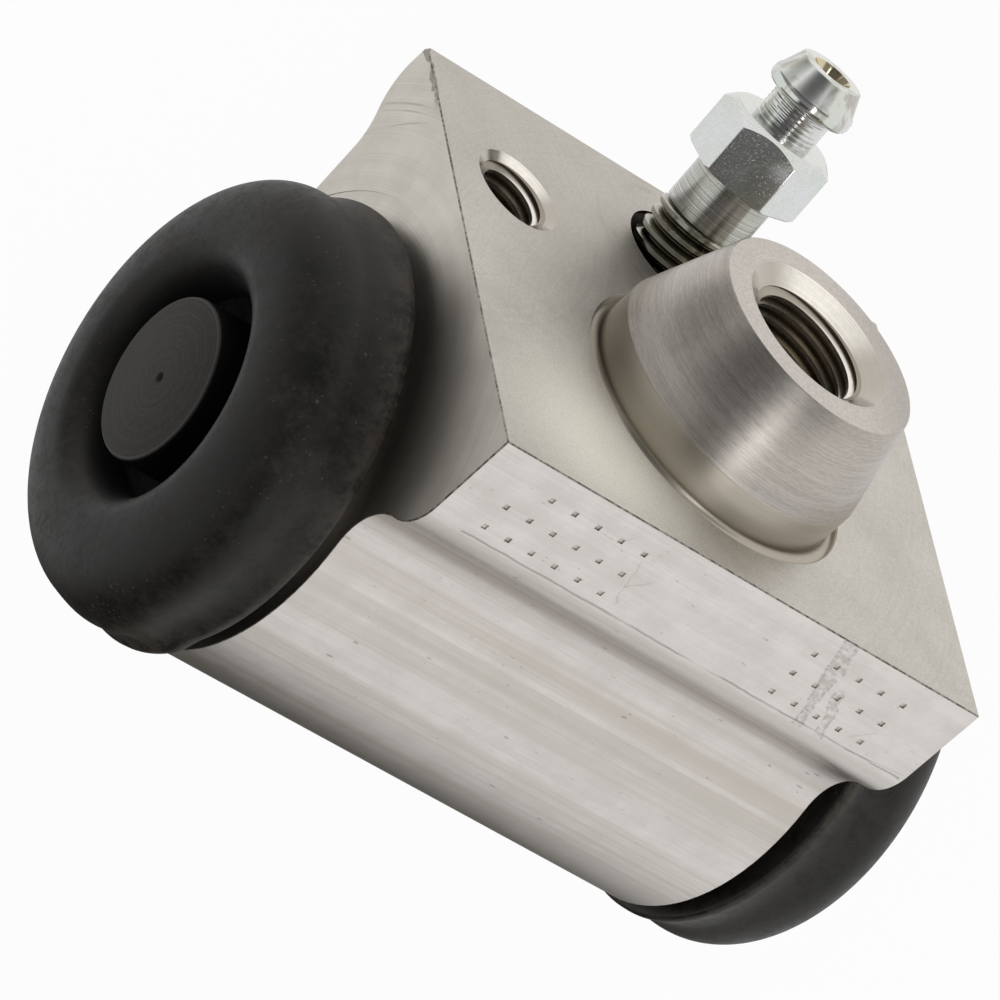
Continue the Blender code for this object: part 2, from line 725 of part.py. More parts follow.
def make_bleed_screw(parts, cutters, material):
    """The bleed screw along its own slanted axis: heights count outwards from the hole's mouth."""
    thread = BLEED_THREAD_RADIUS
    shank = thread - BLEED_SHANK_STEP
    tip = thread - BLEED_TIP_STEP
    cone_height = bleed_seat_height(tip)
    tip_height = bleed_seat_height(tip - BLEED_TIP_BEVEL)
    thread_end = cone_height + BLEED_TIP_LENGTH
    hex_top = HEX_UNDERSIDE + HEX_HEIGHT
    neck_end = hex_top + NIPPLE_NECK_LENGTH
    collar = NIPPLE_NECK_RADIUS + NIPPLE_COLLAR_HEIGHT
    collar_end = neck_end + NIPPLE_COLLAR_LENGTH
    nipple_end = collar_end + NIPPLE_CONE_LENGTH
    profile = [
        (0, nipple_end),
        (collar - NIPPLE_TAPER, nipple_end),
        (collar - NIPPLE_COLLAR_HEIGHT / 4, collar_end),
        (collar, collar_end - NIPPLE_COLLAR_HEIGHT / 4),
        (collar, neck_end + NIPPLE_COLLAR_HEIGHT / 2),
        (NIPPLE_NECK_RADIUS, neck_end),
        (NIPPLE_NECK_RADIUS, hex_top - HEX_HEIGHT / 4),
        (shank, hex_top - HEX_HEIGHT / 4),
        (shank, BLEED_THREAD_REACH),
        (thread, BLEED_THREAD_REACH - BLEED_SHANK_STEP),
        (thread, thread_end + BLEED_THREAD_CHAMFER),
        (thread - BLEED_THREAD_CHAMFER, thread_end),
        (tip, thread_end),
        (tip, cone_height),
        (tip - BLEED_TIP_BEVEL, tip_height),
        (0, tip_height),
    ]
    screw = turned("bleed_screw", profile, parts, MEDIUM_SIDES)
    screw.data.materials.append(material)
    point_along(screw, BLEED_MOUTH, BLEED_AXIS)
    combine(screw, hexagon(cutters), "UNION")
    side_height = cone_height + 2 * NIPPLE_SIDE_HOLE_RADIUS
    bore = [
        (0, nipple_end + OVERCUT),
        (NIPPLE_BORE_RADIUS + NIPPLE_CUP_WIDTH + OVERCUT, nipple_end + OVERCUT),
        (NIPPLE_BORE_RADIUS, nipple_end - NIPPLE_CUP_WIDTH),
        (NIPPLE_BORE_RADIUS, side_height),
        (0, side_height - NIPPLE_BORE_RADIUS * DRILL_POINT_SLOPE),
    ]
    drill = turned("nipple_bore", bore, cutters, SMALL_SIDES)
    point_along(drill, BLEED_MOUTH, BLEED_AXIS)
    combine(screw, drill, "DIFFERENCE")
    cross = turned(
        "nipple_side_hole",
        [
            (0, tip + OVERCUT),
            (NIPPLE_SIDE_HOLE_RADIUS, tip + OVERCUT),
            (NIPPLE_SIDE_HOLE_RADIUS, 0),
            (0, 0),
        ],
        cutters,
        SMALL_SIDES,
    )
    point_along(cross, BLEED_MOUTH + BLEED_AXIS * side_height, (1, 0, 0))
    combine(screw, cross, "DIFFERENCE")
    apply_modifiers(screw)
    return screw


def main():
    clear_scene()
    parts = new_collection("wheel_cylinder")
    cutters = new_collection("cutters")
    aluminium = new_material("body_aluminium", (0.62, 0.60, 0.57), 0.9, 0.42)
    dark_anodised = new_material("piston_dark_anodised", (0.07, 0.068, 0.065), 0.3, 0.6)
    black_rubber = new_material("boot_rubber", (0.022, 0.023, 0.022), 0.0, 0.62)
    seal_rubber = new_material("cup_rubber", (0.03, 0.03, 0.03), 0.0, 0.5)
    pressed_steel = new_material("expander_steel", (0.5, 0.5, 0.5), 1.0, 0.35)
    spring_steel = new_material("spring_steel", (0.4, 0.4, 0.4), 1.0, 0.3)
    zinc_plate = new_material("zinc_plate", (0.66, 0.66, 0.58), 1.0, 0.3)
    make_body(parts, cutters, aluminium)
    make_bleed_screw(parts, cutters, zinc_plate)
    make_spring(parts, spring_steel)
    for side, word in ((-1, "left"), (1, "right")):
        make_piston("piston_" + word, side, parts, dark_anodised)
        make_cup("cup_" + word, side, parts, seal_rubber)
        make_expander("expander_" + word, side, parts, pressed_steel)
        make_boot("boot_" + word, side, parts, black_rubber)


main()
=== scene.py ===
"""The look of a drum brake wheel cylinder.

Its body is extruded and turned aluminium, with rubber boots and a plated bleed screw. Lengths are
in metres, in the same frame as the solids: X along the bore, Z out of the mounting face.
"""

import math

import bmesh
import bpy
from mathutils import Matrix, Vector


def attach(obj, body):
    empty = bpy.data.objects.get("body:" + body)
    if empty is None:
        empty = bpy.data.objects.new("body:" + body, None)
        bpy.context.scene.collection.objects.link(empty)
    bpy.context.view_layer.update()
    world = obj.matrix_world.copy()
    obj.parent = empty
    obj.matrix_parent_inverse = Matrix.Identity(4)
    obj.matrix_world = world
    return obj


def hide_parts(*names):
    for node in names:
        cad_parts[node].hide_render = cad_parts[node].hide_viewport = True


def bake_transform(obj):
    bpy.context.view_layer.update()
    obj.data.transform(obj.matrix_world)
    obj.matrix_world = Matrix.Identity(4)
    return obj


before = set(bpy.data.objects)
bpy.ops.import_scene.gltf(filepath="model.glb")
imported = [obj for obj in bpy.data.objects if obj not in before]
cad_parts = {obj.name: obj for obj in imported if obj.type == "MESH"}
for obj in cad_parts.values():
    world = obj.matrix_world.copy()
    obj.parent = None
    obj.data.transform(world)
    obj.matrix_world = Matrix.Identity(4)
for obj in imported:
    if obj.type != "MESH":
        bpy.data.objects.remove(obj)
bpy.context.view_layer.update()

MM = 0.001

# The body's section and ends
HALF_LENGTH = 22.5 * MM
BORE_Y = -0.65 * MM
BORE_Z = 17.2 * MM
BORE_CENTRE = Vector((0, BORE_Y, BORE_Z))
BORE_DEPTH = 21.65 * MM
FACE_Z = BORE_Z + BORE_DEPTH
BORE_RADIUS = 11.1 * MM
BARREL_RADIUS = 16.4 * MM
FLANGE_NEAR = 20.0 * MM
FLANGE_FAR = 21.3 * MM
NEAR_SIDE_Y = BORE_Y - FLANGE_NEAR
NEAR_SIDE_HEIGHT = 7.2 * MM
NEAR_CORNER_RADIUS = 4.35 * MM
WAIST_RADIUS = 4.5 * MM
FAR_SIDE_HEIGHT = 1.6 * MM
FAR_CORNER_RADIUS = 6.0 * MM
FAR_FILLET_RADIUS = 5.0 * MM
FAR_WALL_LEAN = math.radians(8)
SPOT_FACE_RADIUS = 19.0 * MM
SPOT_FACE_DEPTH = 0.05 * MM
SPIGOT_LENGTH = 4.2 * MM
NECK_RADIUS = 13.6 * MM
LAND_RADIUS = 14.6 * MM
LAND_LENGTH = 1.1 * MM
END_CHAMFER = 0.4 * MM
EDGE_BREAK = 0.10 * MM
CORNER_CHIP = 0.24 * MM
CHIP_DIRECTION = Vector((-1.0, 0.8, 0.9)).normalized()

# The hose boss and the tapped holes
BOSS_PLACE = Vector((0, BORE_Y - 4.3 * MM, FACE_Z))
BOSS_HEIGHT = 10.65 * MM
BOSS_TOP_RADIUS = 8.64 * MM
BOSS_TOP_SHIFT = Vector((0.13, -0.09, 0)) * MM
BOSS_TOP_EDGE = 0.1 * MM
BOSS_TURNED_RADIUS = 10.9 * MM
BOSS_BAND_HEIGHT = 3.1 * MM
BOSS_FILLET_RADIUS = 0.6 * MM
BOSS_GROOVE_RADIUS = 11.68 * MM
BOSS_GROOVE_SHIFT = Vector((0.16, 0.02, 0)) * MM
BOSS_GROOVE_DEPTH = 0.4 * MM
BOSS_GROOVE_EDGE = 0.1 * MM
THREAD_PITCH = 1.0 * MM
THREAD_DEPTH = 0.54 * THREAD_PITCH
PORT_RADIUS = 5.0 * MM
PORT_CHAMFER_WIDTH = 1.32 * MM
PORT_CHAMFER_DEPTH = 1.0 * MM
PORT_DEPTH = 11.5 * MM
MOUNT_HOLE_X = 15.9 * MM
MOUNT_HOLE_Y = BORE_Y + 10.2 * MM
MOUNT_HOLE_RADIUS = 3.0 * MM
MOUNT_CHAMFER_WIDTH = 0.62 * MM
MOUNT_CHAMFER_DEPTH = 0.45 * MM
MOUNT_HOLE_DEPTH = 11.0 * MM
DRILL_POINT_SLOPE = math.tan(math.radians(31))

# The bleed screw and its slanted hole, with heights counted from the mouth along the screw
BLEED_MOUTH = Vector((0, BORE_Y + 13.8 * MM, FACE_Z))
BLEED_LEAN = math.radians(11.5)
BLEED_AXIS = Vector((0, math.sin(BLEED_LEAN), math.cos(BLEED_LEAN)))
BLEED_HOLE_RADIUS = 3.55 * MM
BLEED_MOUTH_RADIUS = 4.14 * MM
BLEED_MOUTH_EDGE = 0.35 * MM
BLEED_MOUTH_DEPTH = 1.4 * MM
BLEED_HOLE_DEPTH = 10.0 * MM
BLEED_THREAD_CREST = 3.46 * MM
BLEED_THREAD_ROOT = 2.98 * MM
BLEED_THREAD_REACH = 3.5 * MM
BLEED_CREST_SHARE = 0.34
BLEED_END = 7.6 * MM
BLEED_END_TAPER = 0.6 * MM
BLEED_BORE_END = 5.0 * MM
BLEED_SHANK_RADIUS = 3.28 * MM
HEX_UNDERSIDE = 7.35 * MM
HEX_HEIGHT = 4.9 * MM
HEX_TOP = HEX_UNDERSIDE + HEX_HEIGHT
HEX_ACROSS_FLATS = 8.35 * MM
HEX_EDGE = 0.12 * MM
HEX_FOOT = 0.3 * MM
HEX_TURN = math.radians(-2)
HEX_TOP_RADIUS = 3.92 * MM
HEX_CROWN_SLOPE = math.tan(math.radians(42))
NIPPLE_NECK_RADIUS = 2.43 * MM
NIPPLE_NECK_LENGTH = 2.45 * MM
NIPPLE_NECK_RINGS = 6
NIPPLE_RING_DEPTH = 0.06 * MM
NIPPLE_COLLAR_RADIUS = 3.45 * MM
NIPPLE_COLLAR_LENGTH = 1.1 * MM
NIPPLE_END_RADIUS = 2.6 * MM
NIPPLE_CONE_LENGTH = 1.9 * MM
NIPPLE_CUP_RADIUS = 1.6 * MM
NIPPLE_CUP_FLARE = 0.45
NIPPLE_BORE_RADIUS = 0.9 * MM
NECK_END = HEX_TOP + NIPPLE_NECK_LENGTH
COLLAR_END = NECK_END + NIPPLE_COLLAR_LENGTH
NIPPLE_END = COLLAR_END + NIPPLE_CONE_LENGTH

# Pistons and boots, with heights counted outwards from the body's end face
STUB_RADIUS = 6.3 * MM
STUB_REACH = 9.3 * MM
STUB_EDGE = 0.25  # in millimetres, as beside() takes it
STUB_GROOVE_DEPTH = 1.0 * MM
STUB_GROOVE_START = 3.9 * MM
STUB_GROOVE_END = 5.6 * MM
PISTON_SHOULDER = 1.5 * MM
PISTON_FACE = 10.0 * MM
PISTON_RADIUS = 11.05 * MM
SPRING_MERGE = 0.01 * MM
BOOT_RIM_RADIUS = 17.15 * MM
BOOT_RIM_START = 1.25 * MM
BOOT_RIM_LENGTH = 0.7 * MM
BOOT_VALLEY_DEPTH = 0.12 * MM
RIM_SHIFT = Vector((0, 0.15, 0.33)) * MM
RIM_SHIFT_SPREAD = 3.2 * MM
RIM_BULGE_DIRECTION = Vector((0, -0.52, -0.854))
RIM_BULGE = 0.55 * MM
RIM_BULGE_REACH = 3.8 * MM
RIM_BULGE_FACING = 0.9
RIM_BULGE_SPREAD = 2.6 * MM
BOOT_ROLL_RADIUS = 16.75 * MM
BOOT_CREST_RADIUS = 10.8 * MM
BOOT_ROLL_START = 5.5 * MM
BOOT_REACH = {"left": 9.65 * MM, "right": 10.3 * MM}
SIDES = (("left", -1), ("right", 1))
BOOT_WALL = 1.4 * MM
BOOT_LEAF_RADIUS = 8.0 * MM
BOOT_LIP_RADIUS = 5.35 * MM
BOOT_LIP_START = 4.2 * MM
BOOT_LIP_END = 5.3 * MM
BOOT_BEAD_RADIUS = 13.9 * MM
BOOT_BEAD_END = 2.8 * MM

# Punched marks on the near side: first column, columns, step, and rows with the columns they lack
PUNCH_WIDTH = 0.50 * MM
PUNCH_LIFT = 0.14 * MM
PUNCH_HEIGHT = 0.5 * MM
PUNCH_GROUPS = (
    (-18.55, 6, 2.145, ((32.2, ()), (34.35, ()), (36.58, (0,)))),
    (8.5, 5, 2.165, ((32.23, ()), (34.36, ()), (36.52, ()))),
)

# Wear on the near side: where each stroke starts and ends in X and Z, and its width, in millimetres
RUBBED_STROKES = (
    ((10.1, 38.8), (11.4, 33.6), 0.85),
    ((11.4, 33.6), (12.4, 29.9), 0.55),
    ((12.8, 34.8), (14.2, 30.6), 0.5),
)
LONG_SCRATCH = ((-19.5, 31.0), (22.0, 31.15), 0.15)
SHORT_SCRATCHES = (
    ((-7.24, 35.9), (-6.45, 32.1), 0.09),
    ((-6.75, 33.6), (-5.4, 35.05), 0.09),
    ((-11.7, 36.4), (-10.6, 36.3), 0.09),
    ((-10.0, 36.6), (-9.5, 37.3), 0.09),
    ((-0.8, 33.5), (-0.7, 33.45), 0.09),
    ((16.8, 31.1), (22.0, 31.6), 0.09),
    ((16.2, 32.2), (17.4, 33.5), 0.09),
)

# Wear on the other faces, and the centres of painted light and shade
MILL_CENTRES = (((0.004, -0.010, 0), 3300), ((-0.030, 0.012, 0), 2700))
PAINTED_GLOW_CENTRE = (-11.8 * MM, -14.8 * MM, 0)
SKEWED_ARC_CENTRE = BORE_CENTRE + Vector((0, -2.2, 3.1)) * MM
BAND_SHADE_CENTRE = BOSS_PLACE - Vector((11.5, -1.5, 0)) * MM
CHIP_REACH = 0.36 * MM
CHIP_EDGE = 0.08 * MM

# The axes that a distance is measured across
LEVEL = (0, 1)
ACROSS_BORE = (1, 2)

# Fineness
ROUND_SIDES = 240
SMALL_SIDES = 120
ARC_STEP = math.radians(4)
WELD = MM / 1000
OVERCUT = 1.0 * MM


# Shader arithmetic

class Value:
    """A socket among some nodes, which Python arithmetic extends with more nodes."""

    def __init__(self, made, socket):
        self.made = made
        self.socket = socket

    def __add__(self, other):
        return self.made.maths("ADD", self, other)

    def __sub__(self, other):
        return self.made.maths("SUBTRACT", self, other)

    def __rsub__(self, other):
        return self.made.maths("SUBTRACT", other, self)

    def __mul__(self, other):
        return self.made.maths("MULTIPLY", self, other)

    def __pow__(self, other):
        return self.made.maths("POWER", self, other)

    __radd__ = __add__
    __rmul__ = __mul__

    def size(self):
        return self.made.maths("ABSOLUTE", self)

    def over(self, edge):
        return self.made.maths("GREATER_THAN", self, edge)

    def span(self, low, high, start=0.0, end=1.0):
        """Goes smoothly from start at low to end at high."""
        return self.made.node(
            "MapRange",
            {"interpolation_type": "SMOOTHSTEP"},
            {"Value": self, "From Min": low, "From Max": high, "To Min": start, "To Max": end},
        )

    def ring(self, middle, width):
        """1 at a middle value, falling to 0 a width away on both sides."""
        return 1 - (self - middle).size().span(0, width)

    def shaded(self, low, high, dark, light):
        """A colour that goes from dark at low to light at high."""
        return self.made.colour(self.span(low, high), rgb(*dark), rgb(*light))

    def tinted(self, share, *tint):
        """This colour with a share of another over it."""
        return self.made.colour(share, self, rgb(*tint))


class Nodes:
    """The nodes of a material or of the world."""

    def __init__(self, tree):
        self.tree = tree

    def node(self, kind, settings, inputs, output=0):
        added = self.tree.nodes.new("ShaderNode" + kind)
        for name, value in settings.items():
            setattr(added, name, value)
        for name, value in inputs.items():
            self.feed(added.inputs[name], value)
        return Value(self, added.outputs[output])

    def feed(self, socket, value):
        if isinstance(value, Value):
            self.tree.links.new(value.socket, socket)
        else:
            socket.default_value = value

    def maths(self, operation, first, second=0.0):
        return self.node("Math", {"operation": operation}, {0: first, 1: second})

    def vector_maths(self, operation, first, second, output=0):
        return self.node("VectorMath", {"operation": operation}, {0: first, 1: second}, output)

    def colour(self, share, first, second, blend="MIX"):
        """A mix of two colours, or of two colour sockets."""
        settings = {"data_type": "RGBA", "blend_type": blend}
        return self.node("Mix", settings, {0: share, 6: first, 7: second}, 2)


class Finish(Nodes):
    """A material made of nodes round one Principled shader."""

    def __init__(self, name, **constants):
        self.material = bpy.data.materials.new(name)
        self.material.use_nodes = True
        super().__init__(self.material.node_tree)
        self.shader = self.tree.nodes["Principled BSDF"]
        for socket, value in constants.items():
            self.shader.inputs[socket.replace("_", " ")].default_value = value
        self.place = self.node("TexCoord", {}, {}, "Object")

    def part(self, vector, axis):
        return self.node("SeparateXYZ", {}, {0: vector}, axis)

    def along(self, axis):
        return self.part(self.place, axis)

    def joined(self, x, y, z):
        return self.node("CombineXYZ", {}, {0: x, 1: y, 2: z})

    def jittered(self, x, y, z):
        return self.vector_maths("ADD", self.place, self.joined(x, y, z))

    def away(self, centre):
        return self.vector_maths("SUBTRACT", self.place, Vector(centre))

    def noise(self, scale, detail, rough, vector=None):
        return self.node(
            "TexNoise",
            {"noise_dimensions": "3D"},
            {"Vector": vector or self.place, "Scale": scale, "Detail": detail, "Roughness": rough},
        )

    def drawn(self, scale, detail, rough):
        """Noise that is stretched by its own scale along each axis."""
        stretched = self.vector_maths("MULTIPLY", self.place, Vector(scale))
        return self.noise(1.0, detail, rough, stretched)

    def flecks(self, vector, scale, size, share, centre=(0, 0, 0)):
        """Small spots, one in some of the cells of an even scatter."""
        shift = self.vector_maths("SUBTRACT", vector, Vector(centre))
        spread = {"Vector": self.vector_maths("MULTIPLY", shift, Vector(scale)), "Scale": 1.0}
        distance, colour = (
            self.node("TexVoronoi", {"feature": "F1"}, spread, output)
            for output in ("Distance", "Color")
        )
        return (1 - distance.span(size * 0.5, size)) * self.part(colour, 0).over(1 - share)

    def radius(self, centre, axes=LEVEL):
        """The distance from an axis through a centre."""
        shift = self.away(centre)
        first, second = (self.part(shift, axis) for axis in axes)
        return (first * first + second * second) ** 0.5

    def rings(self, centre, count, axes=LEVEL):
        """Fine rings about an axis: noise that changes only with the distance from it."""
        return self.noise(1.0, 3, 0.6, self.joined(self.radius(centre, axes) * count, 0, 0))

    def turn_about(self, centre):
        """The angle round a vertical axis."""
        shift = self.away(centre)
        return self.maths("ARCTAN2", self.part(shift, 1), self.part(shift, 0))

    def stroke(self, x, z, start, end, width):
        """1 on a line between two points given in millimetres, fading out over its width."""
        start_x, start_z = (v * MM for v in start)
        run_x, run_z = ((b - a) * MM for a, b in zip(start, end))
        across_x = x - start_x
        across_z = z - start_z
        share = self.node(
            "MapRange",
            {"clamp": True},
            {"Value": across_x * run_x + across_z * run_z, "From Max": run_x**2 + run_z**2},
        )
        away_x = across_x - share * run_x
        away_z = across_z - share * run_z
        distance = (away_x * away_x + away_z * away_z) ** 0.5
        return 1 - distance.span(width * 0.3 * MM, width * MM)

    def strokes(self, x, z, lines):
        return sum(self.stroke(x, z, *line) for line in lines)

    def chips(self, inward, ragged, depth, start, end):
        """Chips along a sharp edge, from start to end across the bar."""
        whole = (inward - ragged * depth + CHIP_REACH).span(0, CHIP_EDGE)
        return (1 - whole) * self.along(1).span(start, end) * ragged.span(0.40, 0.48)

    def finish(self, colour, roughness, height):
        bump = self.node("Bump", {}, {"Height": height, "Distance": MM, "Strength": 1.0})
        for socket, value in (("Base Color", colour), ("Roughness", roughness), ("Normal", bump)):
            self.feed(self.shader.inputs[socket], value)
        return self.material


def rgb(red, green, blue):
    return (red, green, blue, 1)


def extruded_aluminium():
    """Drawn lines along the bar, dark nicks, scuffs, the near side's rubbed patch, and painted
    shade below.
    """
    made = Finish("extruded_aluminium", Metallic=1.0, Roughness=0.44)
    x, y, z = (made.along(axis) for axis in range(3))
    fine = made.drawn((260, 9500, 9500), 2, 0.6)
    streaks = made.drawn((24, 3000, 3000), 2, 0.6)
    broad = made.drawn((7, 620, 620), 2, 0.55)
    mottle = made.noise(330, 4, 0.65)
    wander = made.noise(420, 3, 0.6)
    rough = made.noise(1700, 3, 0.75)
    side = 1 - y.span(NEAR_SIDE_Y + 0.05 * MM, NEAR_SIDE_Y + 0.15 * MM)
    tone = fine * 0.26 + streaks * 0.30 + mottle * 0.44
    base = tone.shaded(0.38, 0.62, (0.645, 0.610, 0.583), (0.76, 0.722, 0.700))
    lines = (broad * 0.6 + streaks * 0.4).span(0.40, 0.62) * (1 - side * 0.65)
    base = base.tinted(lines * 0.78, 0.535, 0.505, 0.455)
    # Painted shade: the faces other than the near side are darker, most of all low down and towards
    # +X
    low = 1 - z.span(1.5 * MM, 14 * MM)
    under = (1 - side) * (0.10 + low * (0.38 + x.span(-12 * MM, 8 * MM) * 0.26))
    base = base.tinted(under, 0.36, 0.335, 0.305)
    jitter = made.jittered(wander * (0.8 * MM), rough * (0.5 * MM), mottle * (0.5 * MM))
    nicks = made.flecks(jitter, (330, 1000, 1000), 0.13, 0.38)
    small = made.flecks(jitter, (800, 2100, 2100), 0.16, 0.26, (0.0013, 0.0021, 0.0007))
    nicks = (nicks + small * 0.7) * rough.span(0.32, 0.52)
    base = base.tinted(nicks.span(0, 1) * 0.55, 0.26, 0.245, 0.225)
    # Marks on the flat near side
    shift_x = x + (wander - 0.5) * (1.6 * MM)
    shift_z = z + (mottle - 0.5) * (0.9 * MM)
    rubbed = made.strokes(shift_x, shift_z, RUBBED_STROKES)
    smear = rubbed.span(0, 1) * rough.span(0.40, 0.58) * side
    rim = rubbed.ring(0.5, 0.5) * rough.span(0.34, 0.50) * side
    base = base.tinted((smear * 0.34 + rim * 0.34).span(0, 1), 0.31, 0.295, 0.27)
    wavy_z = z + (wander - 0.5) * (0.35 * MM)
    scratches = made.stroke(x, wavy_z, *LONG_SCRATCH)
    scratches = scratches * made.drawn((120, 900, 900), 3, 0.65).span(0.28, 0.48)
    scratches = scratches + made.strokes(shift_x, z, SHORT_SCRATCHES) * 0.5
    base = base.tinted((scratches * side).span(0, 1.2) * 0.62, 0.24, 0.225, 0.20)
    height = fine * 0.007 + streaks * 0.009 + broad * 0.008 - nicks * 0.012 - smear * rough * 0.05
    return made.finish(base, 0.36 + mottle * 0.10 + smear * 0.1, height)


def milled_aluminium():
    """The mounting face: matt and fine-grained, with the mill's faint arcs and a chipped edge."""
    made = Finish("milled_aluminium", Metallic=1.0, Roughness=0.46)
    x, y = made.along(0), made.along(1)
    grain = made.noise(6800, 2, 0.7)
    coarse = made.noise(2300, 2, 0.6)
    cloud = made.noise(140, 3, 0.5)
    swirls = sum(made.rings(centre, count) * 0.5 for centre, count in MILL_CENTRES)
    tone = cloud * 0.24 + grain * 0.38 + coarse * 0.14 + swirls * 0.24
    base = tone.shaded(0.38, 0.62, (0.485, 0.462, 0.422), (0.645, 0.62, 0.572))
    # Painted shade darkens the face by the bleed screw, and a painted glow, for light thrown down
    # off the boss, brightens it in front of the boss, where it is also more matt
    far = y.span(-6 * MM, 12 * MM) * (1 - x.span(-6 * MM, 14 * MM) * 0.6)
    base = base.tinted(far * 0.24, 0.36, 0.345, 0.325)
    bright = 1 - made.radius(PAINTED_GLOW_CENTRE).span(1.5 * MM, 12.5 * MM)
    pale = grain.shaded(0.36, 0.64, (0.93, 0.905, 0.825), (1.0, 0.985, 0.91))
    base = made.colour(bright, base, pale)
    screw = made.radius(BLEED_MOUTH)
    scuff = screw.ring(6.4 * MM, 0.45 * MM) + screw.ring(7.3 * MM, 0.25 * MM) * 0.7
    scuff = scuff * made.noise(300, 3, 0.6).span(0.44, 0.58)
    base = base.tinted(scuff * 0.35, 0.33, 0.31, 0.27)
    ragged = made.noise(900, 3, 0.65)
    chips = made.chips(x + HALF_LENGTH, ragged, 1.0 * MM, 14.5 * MM, 16.5 * MM)
    pocks = made.flecks(made.place, (260, 260, 260), 0.045, 0.22)
    base = base.tinted((pocks + chips).span(0, 1) * 0.62, 0.12, 0.11, 0.095)
    height = grain * 0.012 + coarse * 0.006 + swirls * 0.008 - pocks * 0.01 - chips * 0.03
    return made.finish(base, 0.40 + coarse * 0.1 + bright * 0.26, height)


def faced_aluminium():
    """The end faces, with the facing tool's arcs about the bore and a chipped top edge."""
    made = Finish("faced_aluminium", Metallic=1.0, Roughness=0.4)
    y, z = made.along(1), made.along(2)
    rings = made.rings(BORE_CENTRE, 5600, ACROSS_BORE)
    wide = made.rings(BORE_CENTRE, 900, ACROSS_BORE)
    cloud = made.noise(260, 4, 0.6)
    tone = rings * 0.40 + wide * 0.25 + cloud * 0.35
    base = tone.shaded(0.38, 0.62, (0.535, 0.506, 0.455), (0.655, 0.622, 0.567))
    # Deeper arcs near the far corner, two about the bore and one off centre
    away = made.radius(BORE_CENTRE, ACROSS_BORE)
    skewed = made.radius(SKEWED_ARC_CENTRE, ACROSS_BORE)
    arcs = away.ring(25.85 * MM, 0.15 * MM) + away.ring(25.28 * MM, 0.12 * MM)
    arcs = arcs + skewed.ring(23.69 * MM, 0.13 * MM)
    arcs = arcs * y.span(6 * MM, 10 * MM) * cloud.span(0.36, 0.60)
    base = base.tinted(arcs.span(0, 1) * 0.5, 0.30, 0.28, 0.26)
    ragged = made.noise(1100, 3, 0.65)
    chips = made.chips(FACE_Z - z, ragged, 1.3 * MM, 13 * MM, 16 * MM)
    nicks = made.flecks(made.place, (420, 420, 420), 0.12, 0.2) + chips
    base = base.tinted(nicks.span(0, 1) * 0.6, 0.14, 0.125, 0.11)
    # Painted shade, darker where the boot stands near the face
    boot_shade = (1 - away.span(19.5 * MM, 23.5 * MM)) * (1 - y.span(-6 * MM, 3 * MM))
    base = base.tinted(boot_shade * 0.6, 0.27, 0.25, 0.222)
    return made.finish(base, 0.36 + rings * 0.12, rings * 0.010 + wide * 0.006 - nicks * 0.02)


def turned_aluminium():
    """The boss, with turning lines round it above a smoother band."""
    made = Finish("turned_aluminium", Metallic=1.0, Roughness=0.34)
    height = made.along(2)
    angle = made.turn_about(BOSS_PLACE)
    lines = made.noise(1.0, 3, 0.7, made.joined(angle * 1.6, height * 11000, 0))
    dashes = made.noise(1.0, 2, 0.6, made.joined(angle * 14, height * 16000, 0))
    wide = made.noise(1.0, 2, 0.5, made.joined(angle * 1.0, height * 1800, 0))
    band_end = FACE_Z + BOSS_BAND_HEIGHT
    upper = height.span(band_end - 0.1 * MM, band_end)
    marked = lines * 0.42 + dashes * 0.38 + wide * 0.20
    turned_tone = marked.shaded(0.36, 0.64, (0.35, 0.326, 0.30), (0.53, 0.498, 0.46))
    band_tone = made.colour(wide, rgb(0.40, 0.365, 0.305), rgb(0.47, 0.435, 0.37))
    # Painted shade makes the band darker on its left, where it faces away from the light
    left = 1 - made.radius(BAND_SHADE_CENTRE).span(2 * MM, 8.5 * MM)
    band_tone = band_tone.tinted(left * 0.75, 0.20, 0.18, 0.145)
    base = made.colour(upper, band_tone, turned_tone)
    relief = (lines * 0.006 + dashes * 0.008) * upper + wide * 0.003
    return made.finish(base, 0.28 + dashes * 0.14, relief)


def boss_top_aluminium():
    """The boss's faced top: finer and pinker than the mounting face."""
    made = Finish("boss_top_aluminium", Metallic=1.0, Roughness=0.42)
    rings = made.rings(BOSS_PLACE, 5200)
    grain = made.noise(5200, 2, 0.7)
    tone = rings * 0.35 + grain * 0.65
    base = tone.shaded(0.38, 0.62, (0.50, 0.467, 0.437), (0.63, 0.595, 0.562))
    base = base.tinted(made.along(0).span(2 * MM, 8 * MM) * 0.45, 0.33, 0.305, 0.28)
    nicks = made.flecks(made.place, (520, 520, 520), 0.13, 0.18)
    base = base.tinted(nicks * 0.6, 0.26, 0.235, 0.21)
    return made.finish(base, 0.38 + grain * 0.1, grain * 0.010 + rings * 0.004 - nicks * 0.02)


def sink_aluminium():
    """The countersinks: a bright cut with faint rings, with painted shade on both sides of its
    highlight.
    """
    made = Finish("sink_aluminium", Metallic=1.0, Roughness=0.2)
    x, y, z = (made.along(axis) for axis in range(3))
    speckle = made.noise(2300, 3, 0.6)
    depth = made.noise(1.0, 2, 0.6, made.joined(z * 7000, 0, 0))
    tone = speckle * 0.4 + depth * 0.6
    base = tone.shaded(0.34, 0.66, (0.80, 0.775, 0.71), (0.98, 0.955, 0.89))
    port = z.over(FACE_Z + BOSS_BAND_HEIGHT)
    beside_hole = x + MOUNT_HOLE_X - x.over(0.0) * (2 * MOUNT_HOLE_X)
    from_x = x * port + beside_hole * (1 - port)
    from_y = y - port * BOSS_PLACE.y - (1 - port) * MOUNT_HOLE_Y
    turn = made.maths("ARCTAN2", from_y, from_x)
    # Painted shade on both sides of the highlight, by the angle round each hole
    shade_beside_highlight = turn.span(1.45, 2.15) + 1 - turn.span(0.15, 0.85)
    base = base.tinted(shade_beside_highlight * 0.85, 0.38, 0.355, 0.31)
    return made.finish(base, 0.15 + speckle * 0.08, depth * 0.004)


